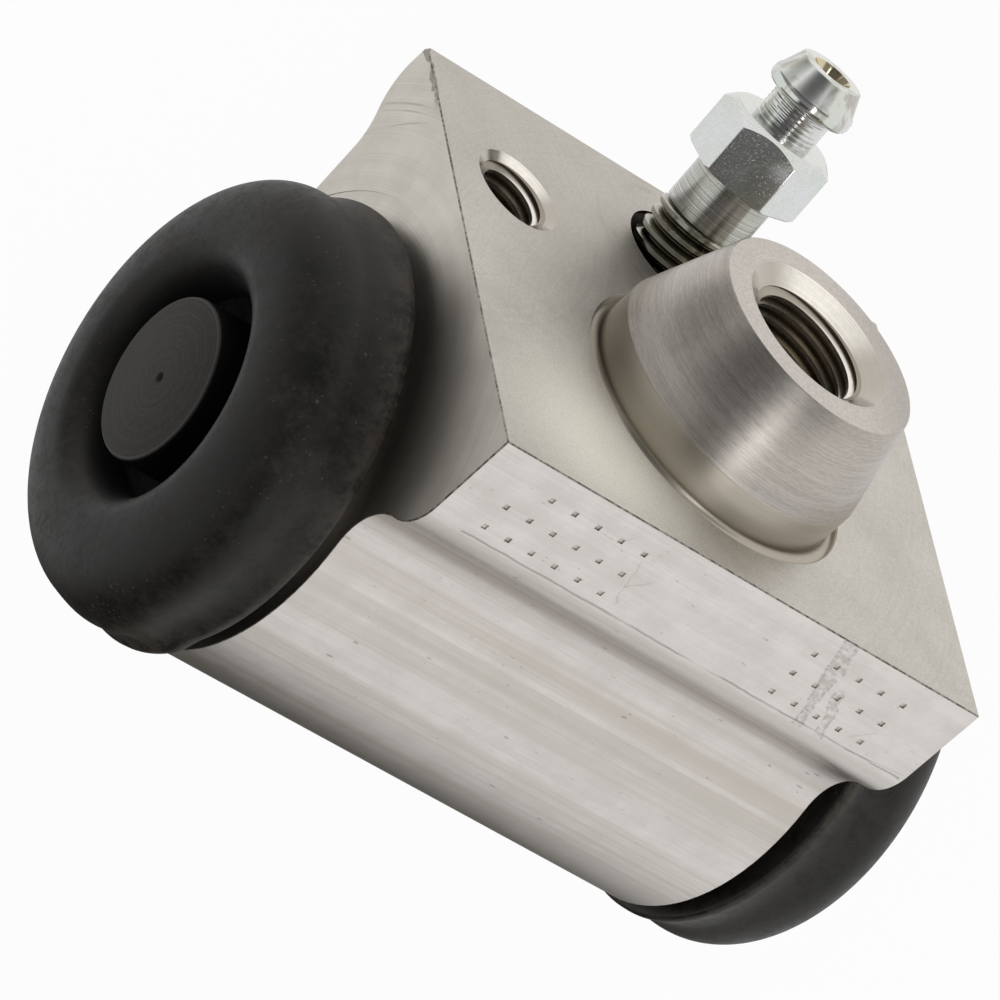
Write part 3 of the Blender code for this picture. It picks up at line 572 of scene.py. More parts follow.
def tapped_aluminium():
    """The tapped holes: darker thread roots under brighter crests."""
    made = Finish("tapped_aluminium", Metallic=1.0, Roughness=0.3)
    x, y, z = (made.along(axis) for axis in range(3))
    speckle = made.noise(1500, 2, 0.55)
    port = made.radius(BOSS_PLACE) - (PORT_RADIUS - THREAD_DEPTH)
    across = x.size() - MOUNT_HOLE_X
    beside = y - MOUNT_HOLE_Y
    mount = (across * across + beside * beside) ** 0.5 - (MOUNT_HOLE_RADIUS - THREAD_DEPTH)
    up = z.over(FACE_Z + 0.6 * MM)
    depth = port * up + mount * (1 - up)
    darkened_roots = (depth + (speckle - 0.5) * (0.08 * MM)).span(0.10 * MM, 0.50 * MM)
    base = made.colour(darkened_roots, rgb(0.86, 0.83, 0.77), rgb(0.36, 0.31, 0.24))
    # The first turn, under the countersink, is darker and rougher
    mouth = FACE_Z + up * (BOSS_HEIGHT - PORT_CHAMFER_DEPTH) - (1 - up) * MOUNT_CHAMFER_DEPTH
    first = (z - mouth + 0.62 * MM).span(0, 0.25 * MM)
    base = base.tinted(first * 0.9, 0.33, 0.30, 0.25)
    return made.finish(base, 0.18 + speckle * 0.10 + first * 0.1, speckle * 0.003)


def boot_rubber():
    """Satin black rubber, mottled and dusty, with a gritty rim, and painted shade black inside its
    mouth.
    """
    made = Finish("boot_rubber", Metallic=0.0, Roughness=0.5, Specular_IOR_Level=0.28)
    cloud = made.noise(170, 4, 0.6)
    grain = made.noise(2400, 2, 0.6)
    smudge = made.noise(560, 5, 0.75)
    base = cloud.shaded(0.36, 0.64, (0.0056, 0.0052, 0.0047), (0.0130, 0.0120, 0.0105))
    mottled = (smudge * 0.6 + grain * 0.4).span(0.42, 0.64)
    base = base.tinted(mottled * 0.75, 0.027, 0.024, 0.0205)
    scuffs = smudge.span(0.50, 0.72) * cloud.span(0.44, 0.62)
    base = base.tinted(scuffs * 0.5, 0.055, 0.047, 0.039)
    jitter = made.jittered(smudge * (0.7 * MM), cloud * (0.9 * MM), grain * (0.4 * MM))
    dust = made.flecks(jitter, (900, 900, 900), 0.15, 0.34)
    dust = dust + made.flecks(jitter, (1900, 1900, 1900), 0.20, 0.34, (0.0007, 0.0013, 0.0003))
    dust = dust * made.noise(260, 3, 0.6).span(0.40, 0.56)
    base = base.tinted(dust.span(0, 1) * 0.60, 0.12, 0.104, 0.088)
    # A painted sheen, mottled like dust, lightens the skirts low down
    outward = made.along(0).size()
    skirt = 1 - outward.span(HALF_LENGTH + 4 * MM, HALF_LENGTH + 6.5 * MM)
    skirt = skirt * (1 - made.along(2).span(25 * MM, 33 * MM)) * smudge.span(0.34, 0.60)
    base = base.tinted(skirt * 0.6, 0.042, 0.037, 0.032)
    away = made.radius(BORE_CENTRE, ACROSS_BORE)
    gritty = away.span(BOOT_RIM_RADIUS - 0.5 * MM, BOOT_RIM_RADIUS + 0.1 * MM)
    base = base.tinted(gritty * smudge.span(0.38, 0.58) * 0.55, 0.075, 0.062, 0.05)
    # Painted shade makes the rubber black inside the mouth, round the stub
    inside = 1 - away.span(BOOT_LEAF_RADIUS + 0.1 * MM, BOOT_LEAF_RADIUS + 1.1 * MM)
    base = base.tinted(inside, 0.0008, 0.0008, 0.0008)
    rough = 0.38 + cloud * 0.14 + mottled * 0.14 + dust * 0.2 + inside * 0.4
    return made.finish(base, rough, cloud * 0.05 + smudge * 0.020 + grain * 0.008 + dust * 0.01)


def piston_finish():
    """The pistons' dark coating over turned aluminium, with a painted highlight at the stub's edge
    and painted shade blackening the sides.
    """
    made = Finish("piston_dark", Metallic=0.45, Roughness=0.6, Specular_IOR_Level=0.15)
    rings = made.rings(BORE_CENTRE, 4600, ACROSS_BORE)
    speckle = made.noise(4200, 2, 0.6)
    tone = rings * 0.62 + speckle * 0.38
    base = tone.shaded(0.36, 0.64, (0.038, 0.034, 0.032), (0.068, 0.062, 0.058))
    away = made.radius(BORE_CENTRE, ACROSS_BORE)
    # A painted highlight near the edge of the stub's face, then painted shade down its sides
    base = base.tinted(away.ring(STUB_RADIUS - 0.2 * MM, 0.14 * MM) * 0.5, 0.13, 0.122, 0.115)
    sides = away.span(STUB_RADIUS - 0.08 * MM, STUB_RADIUS - 0.01 * MM)
    base = base.tinted(sides, 0.006, 0.006, 0.006)
    return made.finish(base, 0.52 + speckle * 0.12, rings * 0.007 + speckle * 0.003)


def zinc_plate():
    """The bleed screw's bright plating: speckled flats, turned lines, and dirt and painted shade in
    the thread.
    """
    made = Finish("zinc_plate", Metallic=1.0, Roughness=0.16)
    cloud = made.noise(420, 3, 0.6)
    speckle = made.noise(7600, 2, 0.75)
    offset = made.away(BLEED_MOUTH)
    sideways = made.vector_maths("CROSS_PRODUCT", offset, BLEED_AXIS)
    radius = made.vector_maths("LENGTH", sideways, Vector((0, 0, 0)), 1)
    along = made.vector_maths("DOT_PRODUCT", offset, BLEED_AXIS, 1)
    turning = made.noise(1.0, 2, 0.6, made.joined(along * 6500, 0, 0))
    nipple = along.over(HEX_TOP + 0.1 * MM)
    tint = cloud.shaded(0.35, 0.65, (0.675, 0.715, 0.67), (0.73, 0.735, 0.755))
    tone = speckle.shaded(0.36, 0.62, (0.86, 0.86, 0.84), (1.0, 1.0, 1.0))
    tone = tone.tinted(nipple * 0.8, 0.92, 0.92, 0.91)
    base = made.colour(1.0, tint, tone, "MULTIPLY")
    # The thread is dull, with dirt and painted shade in its roots, and the shank above it has
    # turned lines
    threaded = 1 - along.span(BLEED_THREAD_REACH, BLEED_THREAD_REACH + 0.4 * MM)
    rooted = radius + (cloud - 0.5) * (0.2 * MM)
    darkened_roots = (1 - rooted.span(3.02 * MM, BLEED_THREAD_CREST)) * threaded
    base = base.tinted(threaded * (0.30 + turning.span(0.35, 0.6) * 0.5), 0.28, 0.26, 0.19)
    base = base.tinted(darkened_roots * 0.9, 0.10, 0.092, 0.065)
    shank = along.span(BLEED_THREAD_REACH, BLEED_THREAD_REACH + 0.5 * MM)
    shank = shank * (1 - along.over(HEX_UNDERSIDE))
    base = base.tinted(shank * (0.28 + turning.span(0.38, 0.62) * 0.60), 0.30, 0.28, 0.24)
    # The nipple is stained outside and golden in its cup, and painted shade makes it black in its
    # bore
    stain = made.drawn((620, 620, 240), 3, 0.6).span(0.46, 0.60)
    base = base.tinted(nipple * stain * 0.55, 0.30, 0.27, 0.20)
    cup = 1 - radius.span(NIPPLE_CUP_RADIUS, NIPPLE_CUP_RADIUS + 0.06 * MM)
    cup = cup * along.over(NIPPLE_END - 2.4 * MM)
    gold = made.colour(stain, rgb(0.62, 0.54, 0.34), rgb(0.30, 0.25, 0.15))
    base = made.colour(cup * 0.9, base, gold)
    bore_shade = 1 - radius.span(NIPPLE_BORE_RADIUS - 0.05 * MM, NIPPLE_BORE_RADIUS + 0.3 * MM)
    base = base.tinted(bore_shade * nipple, 0.015, 0.013, 0.010)
    sparkle = (speckle * 0.0010 + speckle.span(0.60, 0.72) * 0.0035) * (1 - nipple)
    height = sparkle + cloud * 0.004 + turning * (shank * 0.010 + nipple * 0.002)
    return made.finish(base, 0.11 + cloud * 0.05 + speckle * 0.06 - nipple * 0.05, height)


def speckled(name, dark, light, roughness, scale=900, metallic=1.0, relief=0.004):
    """A plain finish for the pieces inside."""
    made = Finish(name, Metallic=metallic, Roughness=roughness)
    speckle = made.noise(scale, 3, 0.6)
    base = made.colour(speckle, rgb(*dark), rgb(*light))
    return made.finish(base, roughness - 0.05 + speckle * 0.1, speckle * relief)


def plain_dark(name, dark, light, roughness):
    """Dark metal, as in a punched mark or on a burr, or painted shade, as in the bleed hole."""
    made = Finish(name, Metallic=1.0, Roughness=roughness)
    speckle = made.noise(2600, 3, 0.65)
    return made.finish(speckle.shaded(0.35, 0.65, dark, light), roughness, speckle * 0.008)


# Modelling

def only(thing):
    bpy.ops.object.select_all(action="DESELECT")
    thing.select_set(True)
    bpy.context.view_layer.objects.active = thing


def added(name, operator, **settings):
    """A primitive or a lamp, added by its operator with nothing else selected."""
    bpy.ops.object.select_all(action="DESELECT")
    operator(**settings)
    thing = bpy.context.object
    thing.name = name
    thing.data.name = name
    return thing


def linked(name, data):
    thing = bpy.data.objects.new(name, data)
    bpy.context.scene.collection.objects.link(thing)
    return thing


def draw_chain(name, points):
    """Edges drawn from point to point, starting from a small plane merged to one corner."""
    thing = added(name, bpy.ops.mesh.primitive_plane_add, size=MM)
    bpy.ops.object.mode_set(mode="EDIT")
    bpy.ops.mesh.merge(type="CENTER")
    bpy.ops.transform.translate(value=points[0])
    for start, end in zip(points, points[1:]):
        bpy.ops.mesh.extrude_region_move(TRANSFORM_OT_translate={"value": end - start})
    return thing


def pick_points(thing, chosen):
    """Opens a thing in edit mode with only the points selected that chosen() is true for."""
    only(thing)
    bpy.ops.object.mode_set(mode="EDIT")
    bpy.ops.mesh.select_all(action="DESELECT")
    shape = bmesh.from_edit_mesh(thing.data)
    for vert in shape.verts:
        vert.select = chosen(vert.co)
    shape.select_flush_mode()
    bmesh.update_edit_mesh(thing.data)


def repaint(thing, material, chosen):
    """Gives another material to the faces that chosen() is true for."""
    thing.data.materials.append(material)
    for face in thing.data.polygons:
        if chosen(face):
            face.material_index = len(thing.data.materials) - 1


def leave_edit(thing, material):
    """Welds what coincides, turns the faces outwards and leaves edit mode."""
    bpy.ops.mesh.select_all(action="SELECT")
    bpy.ops.mesh.remove_doubles(threshold=WELD)
    bpy.ops.mesh.normals_make_consistent(inside=False)
    bpy.ops.object.mode_set(mode="OBJECT")
    thing.data.materials.append(material)
    return thing


def turned(name, profile, material, sides=ROUND_SIDES):
    """A profile of (radius, height) points spun about Z."""
    thing = draw_chain(name, [Vector((radius, 0, height)) for radius, height in profile])
    bpy.ops.mesh.select_all(action="SELECT")
    bpy.ops.mesh.spin(steps=sides, angle=math.tau, center=(0, 0, 0), axis=(0, 0, 1))
    return leave_edit(thing, material)


def placed(thing, origin, direction=(0, 0, 1), turn=0.0):
    aim = Vector(direction).to_track_quat("Z", "Y").to_matrix().to_4x4()
    thing.matrix_world = Matrix.Translation(origin) @ aim @ Matrix.Rotation(turn, 4, "Z")
    only(thing)
    bpy.ops.object.transform_apply(location=True, rotation=True, scale=True)
    return thing


def modified(thing, kind, **settings):
    """Adds a modifier and applies it."""
    modifier = thing.modifiers.new(kind.lower(), kind)
    for name, value in settings.items():
        setattr(modifier, name, value)
    only(thing)
    bpy.ops.object.modifier_apply(modifier=modifier.name)


def combined(target, tool, operation):
    """Adds or cuts a tool's shape, whose faces keep the tool's material."""
    modified(target, "BOOLEAN", operation=operation, object=tool, material_mode="TRANSFER")
    bpy.data.objects.remove(tool)
    return target


def worked(target, operation, name, profile, material, origin, direction=(0, 0, 1)):
    """Adds a turned shape to the target or cuts it out."""
    return combined(target, placed(turned(name, profile, material), origin, direction), operation)


def shade(thing, degrees=30):
    only(thing)
    bpy.ops.object.shade_smooth_by_angle(angle=math.radians(degrees))
    return thing


def beside(radius, height, *steps):
    """Points of a profile, given in millimetres from one of its corners."""
    return [(radius + across * MM, height + up * MM) for across, up in steps]


def plug(radius, top, bottom, point=0):
    """The profile of a plain round plug, which may end in a drill's point."""
    return [(0, top), (radius, top), (radius, bottom), (0, bottom - point)]


def arc(centre, radius, start, end):
    count = max(2, math.ceil(abs(end - start) / ARC_STEP))
    angles = [start + (end - start) * i / count for i in range(count + 1)]
    return [centre + radius * Vector((math.cos(a), math.sin(a))) for a in angles]


def heading(start, end):
    return math.atan2(end.y - start.y, end.x - start.x)


def circle_crossing(centre_a, radius_a, centre_b, radius_b):
    """The left one of the two points where two circles cross, going from a to b."""
    line = centre_b - centre_a
    along = (line.length_squared + radius_a**2 - radius_b**2) / (2 * line.length)
    across = math.sqrt(radius_a**2 - along**2)
    unit = line.normalized()
    return centre_a + unit * along + across * Vector((-unit.y, unit.x))


def body_outline():
    """The bar's section in Y and Z about the bore, anticlockwise from its far upper corner."""
    bore = Vector((0, 0))
    near_corner = Vector((NEAR_CORNER_RADIUS - FLANGE_NEAR, BORE_DEPTH - NEAR_SIDE_HEIGHT))
    waist = circle_crossing(
        bore, BARREL_RADIUS + WAIST_RADIUS, near_corner, NEAR_CORNER_RADIUS + WAIST_RADIUS
    )
    far_corner = Vector((FLANGE_FAR - FAR_CORNER_RADIUS, BORE_DEPTH - FAR_SIDE_HEIGHT))
    wall_normal = Vector((math.cos(FAR_WALL_LEAN), -math.sin(FAR_WALL_LEAN)))
    to_wall = BARREL_RADIUS + FAR_FILLET_RADIUS - wall_normal.dot(far_corner)
    across = math.sqrt((FAR_CORNER_RADIUS + FAR_FILLET_RADIUS) ** 2 - to_wall**2)
    down_wall = Vector((wall_normal.y, -wall_normal.x))
    far_fillet = far_corner + wall_normal * to_wall + across * down_wall
    points = [Vector((FLANGE_FAR, BORE_DEPTH)), Vector((-FLANGE_NEAR, BORE_DEPTH))]
    points += arc(near_corner, NEAR_CORNER_RADIUS, math.pi, heading(near_corner, waist) % math.tau)
    points += arc(waist, WAIST_RADIUS, heading(waist, near_corner), heading(waist, bore))[1:]
    points += arc(bore, BARREL_RADIUS, heading(bore, waist), math.tau - FAR_WALL_LEAN)[1:]
    points += arc(
        far_fillet, FAR_FILLET_RADIUS, math.pi - FAR_WALL_LEAN, heading(far_fillet, far_corner)
    )
    points += arc(far_corner, FAR_CORNER_RADIUS, heading(far_corner, far_fillet), 0)[1:]
    return points


def thread_rod(name, crest, root, envelope, material, crest_share=0.13):
    """A threaded rod along Z inside a turned envelope, given as its (radius, height) profile."""
    heights = [height for _, height in envelope]
    low = min(heights) - 2 * THREAD_PITCH
    turns = math.ceil((max(heights) - low) / THREAD_PITCH) + 2
    # A tooth's outline over one turn, as radius and share of the pitch
    rise_start = 1 - crest_share - 0.56
    rise_end = 1 - crest_share - 0.3
    tooth = [(root, 0), (root, rise_start), (crest, rise_end), (crest, 0.7), (root, 1)]
    points = [Vector((radius, 0, low + share * THREAD_PITCH)) for radius, share in tooth]
    rod = draw_chain(name, points)
    bpy.ops.object.mode_set(mode="OBJECT")
    coil = {"axis": "Z", "angle": math.tau, "screw_offset": THREAD_PITCH, "iterations": turns}
    fineness = {"steps": SMALL_SIDES, "render_steps": SMALL_SIDES}
    modified(rod, "SCREW", use_merge_vertices=True, merge_threshold=WELD, **coil, **fineness)
    bpy.ops.object.mode_set(mode="EDIT")
    bpy.ops.mesh.select_all(action="SELECT")
    bpy.ops.mesh.remove_doubles(threshold=WELD)
    bpy.ops.mesh.select_mode(type="EDGE")
    middle = low + turns * THREAD_PITCH / 2
    for upper in (False, True):
        bpy.ops.mesh.select_all(action="DESELECT")
        bpy.ops.mesh.select_non_manifold()
        shape = bmesh.from_edit_mesh(rod.data)
        for edge in shape.edges:
            edge.select = edge.select and (edge.verts[0].co.z > middle) == upper
        bmesh.update_edit_mesh(rod.data)
        bpy.ops.mesh.extrude_edges_move(TRANSFORM_OT_translate={"value": (0, 0, 0)})
        bpy.ops.mesh.merge(type="CENTER")
    bpy.ops.mesh.select_mode(type="VERT")
    leave_edit(rod, material)
    limit = turned(name + "_envelope", envelope, material, SMALL_SIDES)
    return combined(rod, limit, "INTERSECT")


def tapped_hole(name, radius, depth, chamfer_width, chamfer_depth, material, mouth_material):
    """The shape that a drill, a tap and a countersink cut out: its mouth is at height 0."""
    root = radius - THREAD_DEPTH
    envelope = plug(radius * 1.1, -chamfer_depth / 2, -depth)
    rod = thread_rod(name, radius, root, envelope, material)
    drill = plug(root, -depth / 2, -depth, root * DRILL_POINT_SLOPE)
    combined(rod, turned(name + "_drill", drill, material, SMALL_SIDES), "UNION")
    flare = chamfer_width / chamfer_depth
    bottom = -(radius - root + chamfer_width) / flare
    profile = [
        (0, OVERCUT),
        (radius + chamfer_width + flare * OVERCUT, OVERCUT),
        (radius, -chamfer_depth),
        (root, bottom),
        (0, bottom),
    ]
    sink = turned(name + "_sink", profile, mouth_material)
    repaint(sink, material, lambda face: face.center.z < -chamfer_depth)
    return combined(rod, sink, "UNION")


def end_place(side):
    return Vector((side * HALF_LENGTH, BORE_Y, BORE_Z))


def make_blank(drawn, milled, faced):
    """The cut length of bar, with its ends faced round the spigots and its edges broken."""
    points = [Vector((-HALF_LENGTH, BORE_Y + p.x, BORE_Z + p.y)) for p in body_outline()]
    blank = draw_chain("cylinder_body", points)
    bpy.ops.mesh.select_all(action="SELECT")
    bpy.ops.mesh.edge_face_add()
    bpy.ops.mesh.extrude_region_move(TRANSFORM_OT_translate={"value": (2 * HALF_LENGTH, 0, 0)})
    leave_edit(blank, drawn)
    top = FACE_Z - WELD
    repaint(blank, milled, lambda face: face.normal.z > 0.99 and face.center.z > top)
    repaint(blank, faced, lambda face: abs(face.normal.x) > 0.9)
    burr = plain_dark("burr", (0.13, 0.12, 0.105), (0.40, 0.38, 0.345), 0.45)
    blank.data.materials.append(burr)
    sharp = {"limit_method": "ANGLE", "angle_limit": math.radians(40)}
    burr_slot = len(blank.data.materials) - 1
    modified(blank, "BEVEL", width=EDGE_BREAK, segments=1, material=burr_slot, **sharp)
    ring = [
        (SPOT_FACE_RADIUS, OVERCUT),
        (SPOT_FACE_RADIUS, -SPOT_FACE_DEPTH),
        (NECK_RADIUS, -SPOT_FACE_DEPTH),
        (NECK_RADIUS, OVERCUT),
        (SPOT_FACE_RADIUS, OVERCUT),
    ]
    for side in (-1, 1):
        worked(blank, "DIFFERENCE", "spot_face", ring, faced, end_place(side), (side, 0, 0))
    chip = added("corner_chip", bpy.ops.mesh.primitive_cube_add, size=2 * OVERCUT)
    chip.data.materials.append(burr)
    corner = Vector((-HALF_LENGTH, BORE_Y + FLANGE_FAR, FACE_Z))
    placed(chip, corner + CHIP_DIRECTION * (OVERCUT - CORNER_CHIP), CHIP_DIRECTION)
    combined(blank, chip, "DIFFERENCE")
    return blank


def boss_profile():
    foot = Vector((BOSS_TURNED_RADIUS + BOSS_FILLET_RADIUS, BOSS_FILLET_RADIUS - BOSS_GROOVE_DEPTH))
    profile = [
        (0, BOSS_HEIGHT),
        (BOSS_TOP_RADIUS - BOSS_TOP_EDGE, BOSS_HEIGHT),
        (BOSS_TOP_RADIUS, BOSS_HEIGHT - BOSS_TOP_EDGE),
        (BOSS_TURNED_RADIUS, BOSS_BAND_HEIGHT),
    ]
    profile += [tuple(point) for point in arc(foot, BOSS_FILLET_RADIUS, math.pi, 1.5 * math.pi)]
    return profile + [(foot.x, -2 * OVERCUT), (0, -2 * OVERCUT)]


def groove_profile():
    return [
        (0, OVERCUT),
        (BOSS_GROOVE_RADIUS + BOSS_GROOVE_EDGE + OVERCUT, OVERCUT),
        (BOSS_GROOVE_RADIUS, -BOSS_GROOVE_EDGE),
        (BOSS_GROOVE_RADIUS, -BOSS_GROOVE_DEPTH),
        (0, -BOSS_GROOVE_DEPTH),
    ]


def spigot_profile():
    land_start = SPIGOT_LENGTH - LAND_LENGTH
    return [
        (0, SPIGOT_LENGTH),
        (LAND_RADIUS - END_CHAMFER, SPIGOT_LENGTH),
        (LAND_RADIUS, SPIGOT_LENGTH - END_CHAMFER),
        (LAND_RADIUS, land_start),
        (NECK_RADIUS, land_start),
        (NECK_RADIUS, -SPOT_FACE_DEPTH - OVERCUT),
        (0, -SPOT_FACE_DEPTH - OVERCUT),
    ]


def bore_profile():
    reach = HALF_LENGTH + SPIGOT_LENGTH
    wide = BORE_RADIUS + END_CHAMFER + OVERCUT
    return [
        (0, reach + OVERCUT),
        (wide, reach + OVERCUT),
        (BORE_RADIUS, reach - END_CHAMFER),
        (BORE_RADIUS, END_CHAMFER - reach),
        (wide, -reach - OVERCUT),
        (0, -reach - OVERCUT),
    ]


def mouth_profile():
    return [
        (0, OVERCUT),
        (BLEED_MOUTH_RADIUS, OVERCUT),
        (BLEED_MOUTH_RADIUS, -BLEED_MOUTH_EDGE),
        (BLEED_HOLE_RADIUS - 0.4 * MM, -BLEED_MOUTH_DEPTH),
        (0, -BLEED_MOUTH_DEPTH),
    ]


def make_punches(wall, floor):
    """One flat-ended punch, copied for every mark on the near side."""
    punch = added(
        "punch",
        bpy.ops.mesh.primitive_cone_add,
        vertices=4,
        radius1=PUNCH_WIDTH * 0.5,
        radius2=PUNCH_WIDTH * 1.1,
        depth=PUNCH_HEIGHT,
        rotation=(math.pi / 2, 0, 0),
    )
    bpy.ops.object.transform_apply(location=False, rotation=True, scale=False)
    punch.rotation_euler = (0, math.pi / 4, 0)
    bpy.ops.object.transform_apply(location=False, rotation=True, scale=False)
    punch.data.materials.append(wall)
    repaint(punch, floor, lambda face: face.normal.y > 0.9)
    copies = []
    for first, columns, step, rows in PUNCH_GROUPS:
        for row, missing in rows:
            for column in range(columns):
                if column in missing:
                    continue
                copy = linked("punch", punch.data.copy())
                copy.location = ((first + step * column) * MM, NEAR_SIDE_Y - PUNCH_LIFT, row * MM)
                copies.append(copy)
    bpy.data.objects.remove(punch)
    bpy.ops.object.select_all(action="DESELECT")
    for copy in copies:
        copy.select_set(True)
    bpy.context.view_layer.objects.active = copies[0]
    bpy.ops.object.transform_apply(location=True, rotation=True, scale=True)
    bpy.ops.object.join()
    return copies[0]


def make_boss(body, lathe):
    """The boss is turned a touch out of true, so its top is off centre."""
    boss = turned("boss", boss_profile(), lathe)
    top = BOSS_HEIGHT - WELD
    repaint(boss, boss_top_aluminium(), lambda face: face.normal.z > 0.99 and face.center.z > top)
    placed(boss, BOSS_PLACE)
    pick_points(boss, lambda point: point.z > FACE_Z + BOSS_HEIGHT - 2 * BOSS_TOP_EDGE)
    bpy.ops.transform.translate(value=BOSS_TOP_SHIFT)
    bpy.ops.object.mode_set(mode="OBJECT")
    combined(body, boss, "UNION")


def make_body():
    drawn = extruded_aluminium()
    milled = milled_aluminium()
    faced = faced_aluminium()
    lathe = turned_aluminium()
    tapped = tapped_aluminium()
    fresh = sink_aluminium()
    # Painted shade: the bleed hole and its mouth are painted near black
    hole_shade = plain_dark("bleed_hole_painted_shade", (0.03, 0.027, 0.022), (0.07, 0.063, 0.05), 0.5)
    body = make_blank(drawn, milled, faced)
    groove_place = BOSS_PLACE + BOSS_GROOVE_SHIFT
    worked(body, "DIFFERENCE", "groove", groove_profile(), lathe, groove_place)
    make_boss(body, lathe)
    for side in (-1, 1):
        worked(body, "UNION", "spigot", spigot_profile(), faced, end_place(side), (side, 0, 0))
    worked(body, "DIFFERENCE", "bore", bore_profile(), faced, BORE_CENTRE, (1, 0, 0))
    port_sizes = (PORT_RADIUS, PORT_DEPTH, PORT_CHAMFER_WIDTH, PORT_CHAMFER_DEPTH)
    port = tapped_hole("port", *port_sizes, tapped, fresh)
    combined(body, placed(port, BOSS_PLACE + Vector((0, 0, BOSS_HEIGHT))), "DIFFERENCE")
    mount_sizes = (MOUNT_HOLE_RADIUS, MOUNT_HOLE_DEPTH, MOUNT_CHAMFER_WIDTH, MOUNT_CHAMFER_DEPTH)
    for side in (-1, 1):
        hole = tapped_hole("mount_hole", *mount_sizes, tapped, fresh)
        combined(body, placed(hole, (side * MOUNT_HOLE_X, MOUNT_HOLE_Y, FACE_Z)), "DIFFERENCE")
    radius = BLEED_HOLE_RADIUS
    bleed = plug(radius, 2 * OVERCUT, -BLEED_HOLE_DEPTH, radius * DRILL_POINT_SLOPE)
    worked(body, "DIFFERENCE", "bleed", bleed, hole_shade, BLEED_MOUTH, BLEED_AXIS)
    worked(body, "DIFFERENCE", "bleed_mouth", mouth_profile(), hole_shade, BLEED_MOUTH)
    punched = plain_dark("punched_mark", (0.40, 0.375, 0.335), (0.68, 0.65, 0.605), 0.45)
    pit = plain_dark("punched_floor", (0.47, 0.447, 0.41), (0.65, 0.62, 0.58), 0.5)
    combined(body, make_punches(punched, pit), "DIFFERENCE")
    shade(body)
    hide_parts("body")
    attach(body, "root")


def make_hexagon(plate):
    corner = HEX_ACROSS_FLATS / 2 / math.cos(math.pi / 6)
    hexagon = added(
        "hexagon",
        bpy.ops.mesh.primitive_cylinder_add,
        vertices=6,
        radius=corner,
        depth=HEX_HEIGHT,
        location=(0, 0, HEX_UNDERSIDE + HEX_HEIGHT / 2),
    )
    bpy.ops.object.transform_apply(location=True, rotation=False, scale=False)
    hexagon.data.materials.append(plate)
    modified(hexagon, "BEVEL", width=HEX_EDGE, segments=2)
    outside = corner + OVERCUT
    crown = [
        (0, HEX_TOP),
        (HEX_TOP_RADIUS, HEX_TOP),
        (outside, HEX_TOP - (outside - HEX_TOP_RADIUS) * HEX_CROWN_SLOPE),
        (outside, HEX_UNDERSIDE + HEX_FOOT + OVERCUT * 0.6),
        (corner - HEX_FOOT * 1.4, HEX_UNDERSIDE),
        (0, HEX_UNDERSIDE),
    ]
    combined(hexagon, turned("crown", crown, plate), "INTERSECT")
    return placed(hexagon, (0, 0, 0), (0, 0, 1), HEX_TURN)


def nipple_profile(foot):
    """The cone, the collar and the grooved neck, down to a foot inside the hexagon."""
    collar = NIPPLE_COLLAR_RADIUS
    profile = [(0, NIPPLE_END)]
    profile += beside(NIPPLE_END_RADIUS, NIPPLE_END, (-0.1, 0), (0, -0.1))
    profile += beside(collar, COLLAR_END, (-0.17, 0.1), (-0.08, 0.02), (0, -0.15))
    profile += beside(collar, NECK_END, (0, 0.45), (-0.06, 0.28), (-0.22, 0.12))
    profile += beside(NIPPLE_NECK_RADIUS, NECK_END, (0.05, -0.1))
    step = (NIPPLE_NECK_LENGTH - 0.2 * MM) / NIPPLE_NECK_RINGS
    for i in range(NIPPLE_NECK_RINGS):
        top = NECK_END - 0.15 * MM - i * step
        for depth, share in ((0, 0), (NIPPLE_RING_DEPTH, 0.3), (NIPPLE_RING_DEPTH, 0.55), (0, 0.8)):
            profile.append((NIPPLE_NECK_RADIUS - depth, top - share * step))
    return profile + [(NIPPLE_NECK_RADIUS, foot), (0, foot)]


def make_bleed_screw():
    plate = zinc_plate()
    root = BLEED_THREAD_ROOT
    outer = BLEED_THREAD_CREST + 0.1 * MM
    reach = BLEED_THREAD_REACH
    envelope = [
        (0, reach + 0.2 * MM),
        (root, reach + 0.2 * MM),
        (outer, reach - 0.3 * MM),
        (outer, BLEED_END_TAPER - BLEED_END),
        (root, -BLEED_END),
        (0, -BLEED_END),
    ]
    name = "bleed_screw_threaded"
    screw = thread_rod(name, BLEED_THREAD_CREST, root, envelope, plate, BLEED_CREST_SHARE)
    shank_end = HEX_UNDERSIDE + HEX_HEIGHT / 2
    shank = [
        (0, shank_end),
        (BLEED_SHANK_RADIUS, shank_end),
        (BLEED_SHANK_RADIUS, reach),
        (BLEED_SHANK_RADIUS - 0.3 * MM, reach - 0.25 * MM),
        (0, reach - 0.25 * MM),
    ]
    cup_end = NIPPLE_END - (NIPPLE_CUP_RADIUS - NIPPLE_BORE_RADIUS) / NIPPLE_CUP_FLARE
    drill = [
        (0, NIPPLE_END + OVERCUT),
        (NIPPLE_CUP_RADIUS + NIPPLE_CUP_FLARE * OVERCUT, NIPPLE_END + OVERCUT),
        (NIPPLE_BORE_RADIUS, cup_end),
        (NIPPLE_BORE_RADIUS, -BLEED_BORE_END),
        (0, -BLEED_BORE_END),
    ]
    combined(screw, turned("shank", shank, plate, SMALL_SIDES), "UNION")
    combined(screw, make_hexagon(plate), "UNION")
    combined(screw, turned("nipple", nipple_profile(shank_end), plate, SMALL_SIDES), "UNION")
    combined(screw, turned("nipple_drill", drill, plate, SMALL_SIDES), "DIFFERENCE")
    placed(screw, BLEED_MOUTH, BLEED_AXIS)
    shade(screw)
    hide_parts("bleed_screw")
    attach(screw, "bleeder")


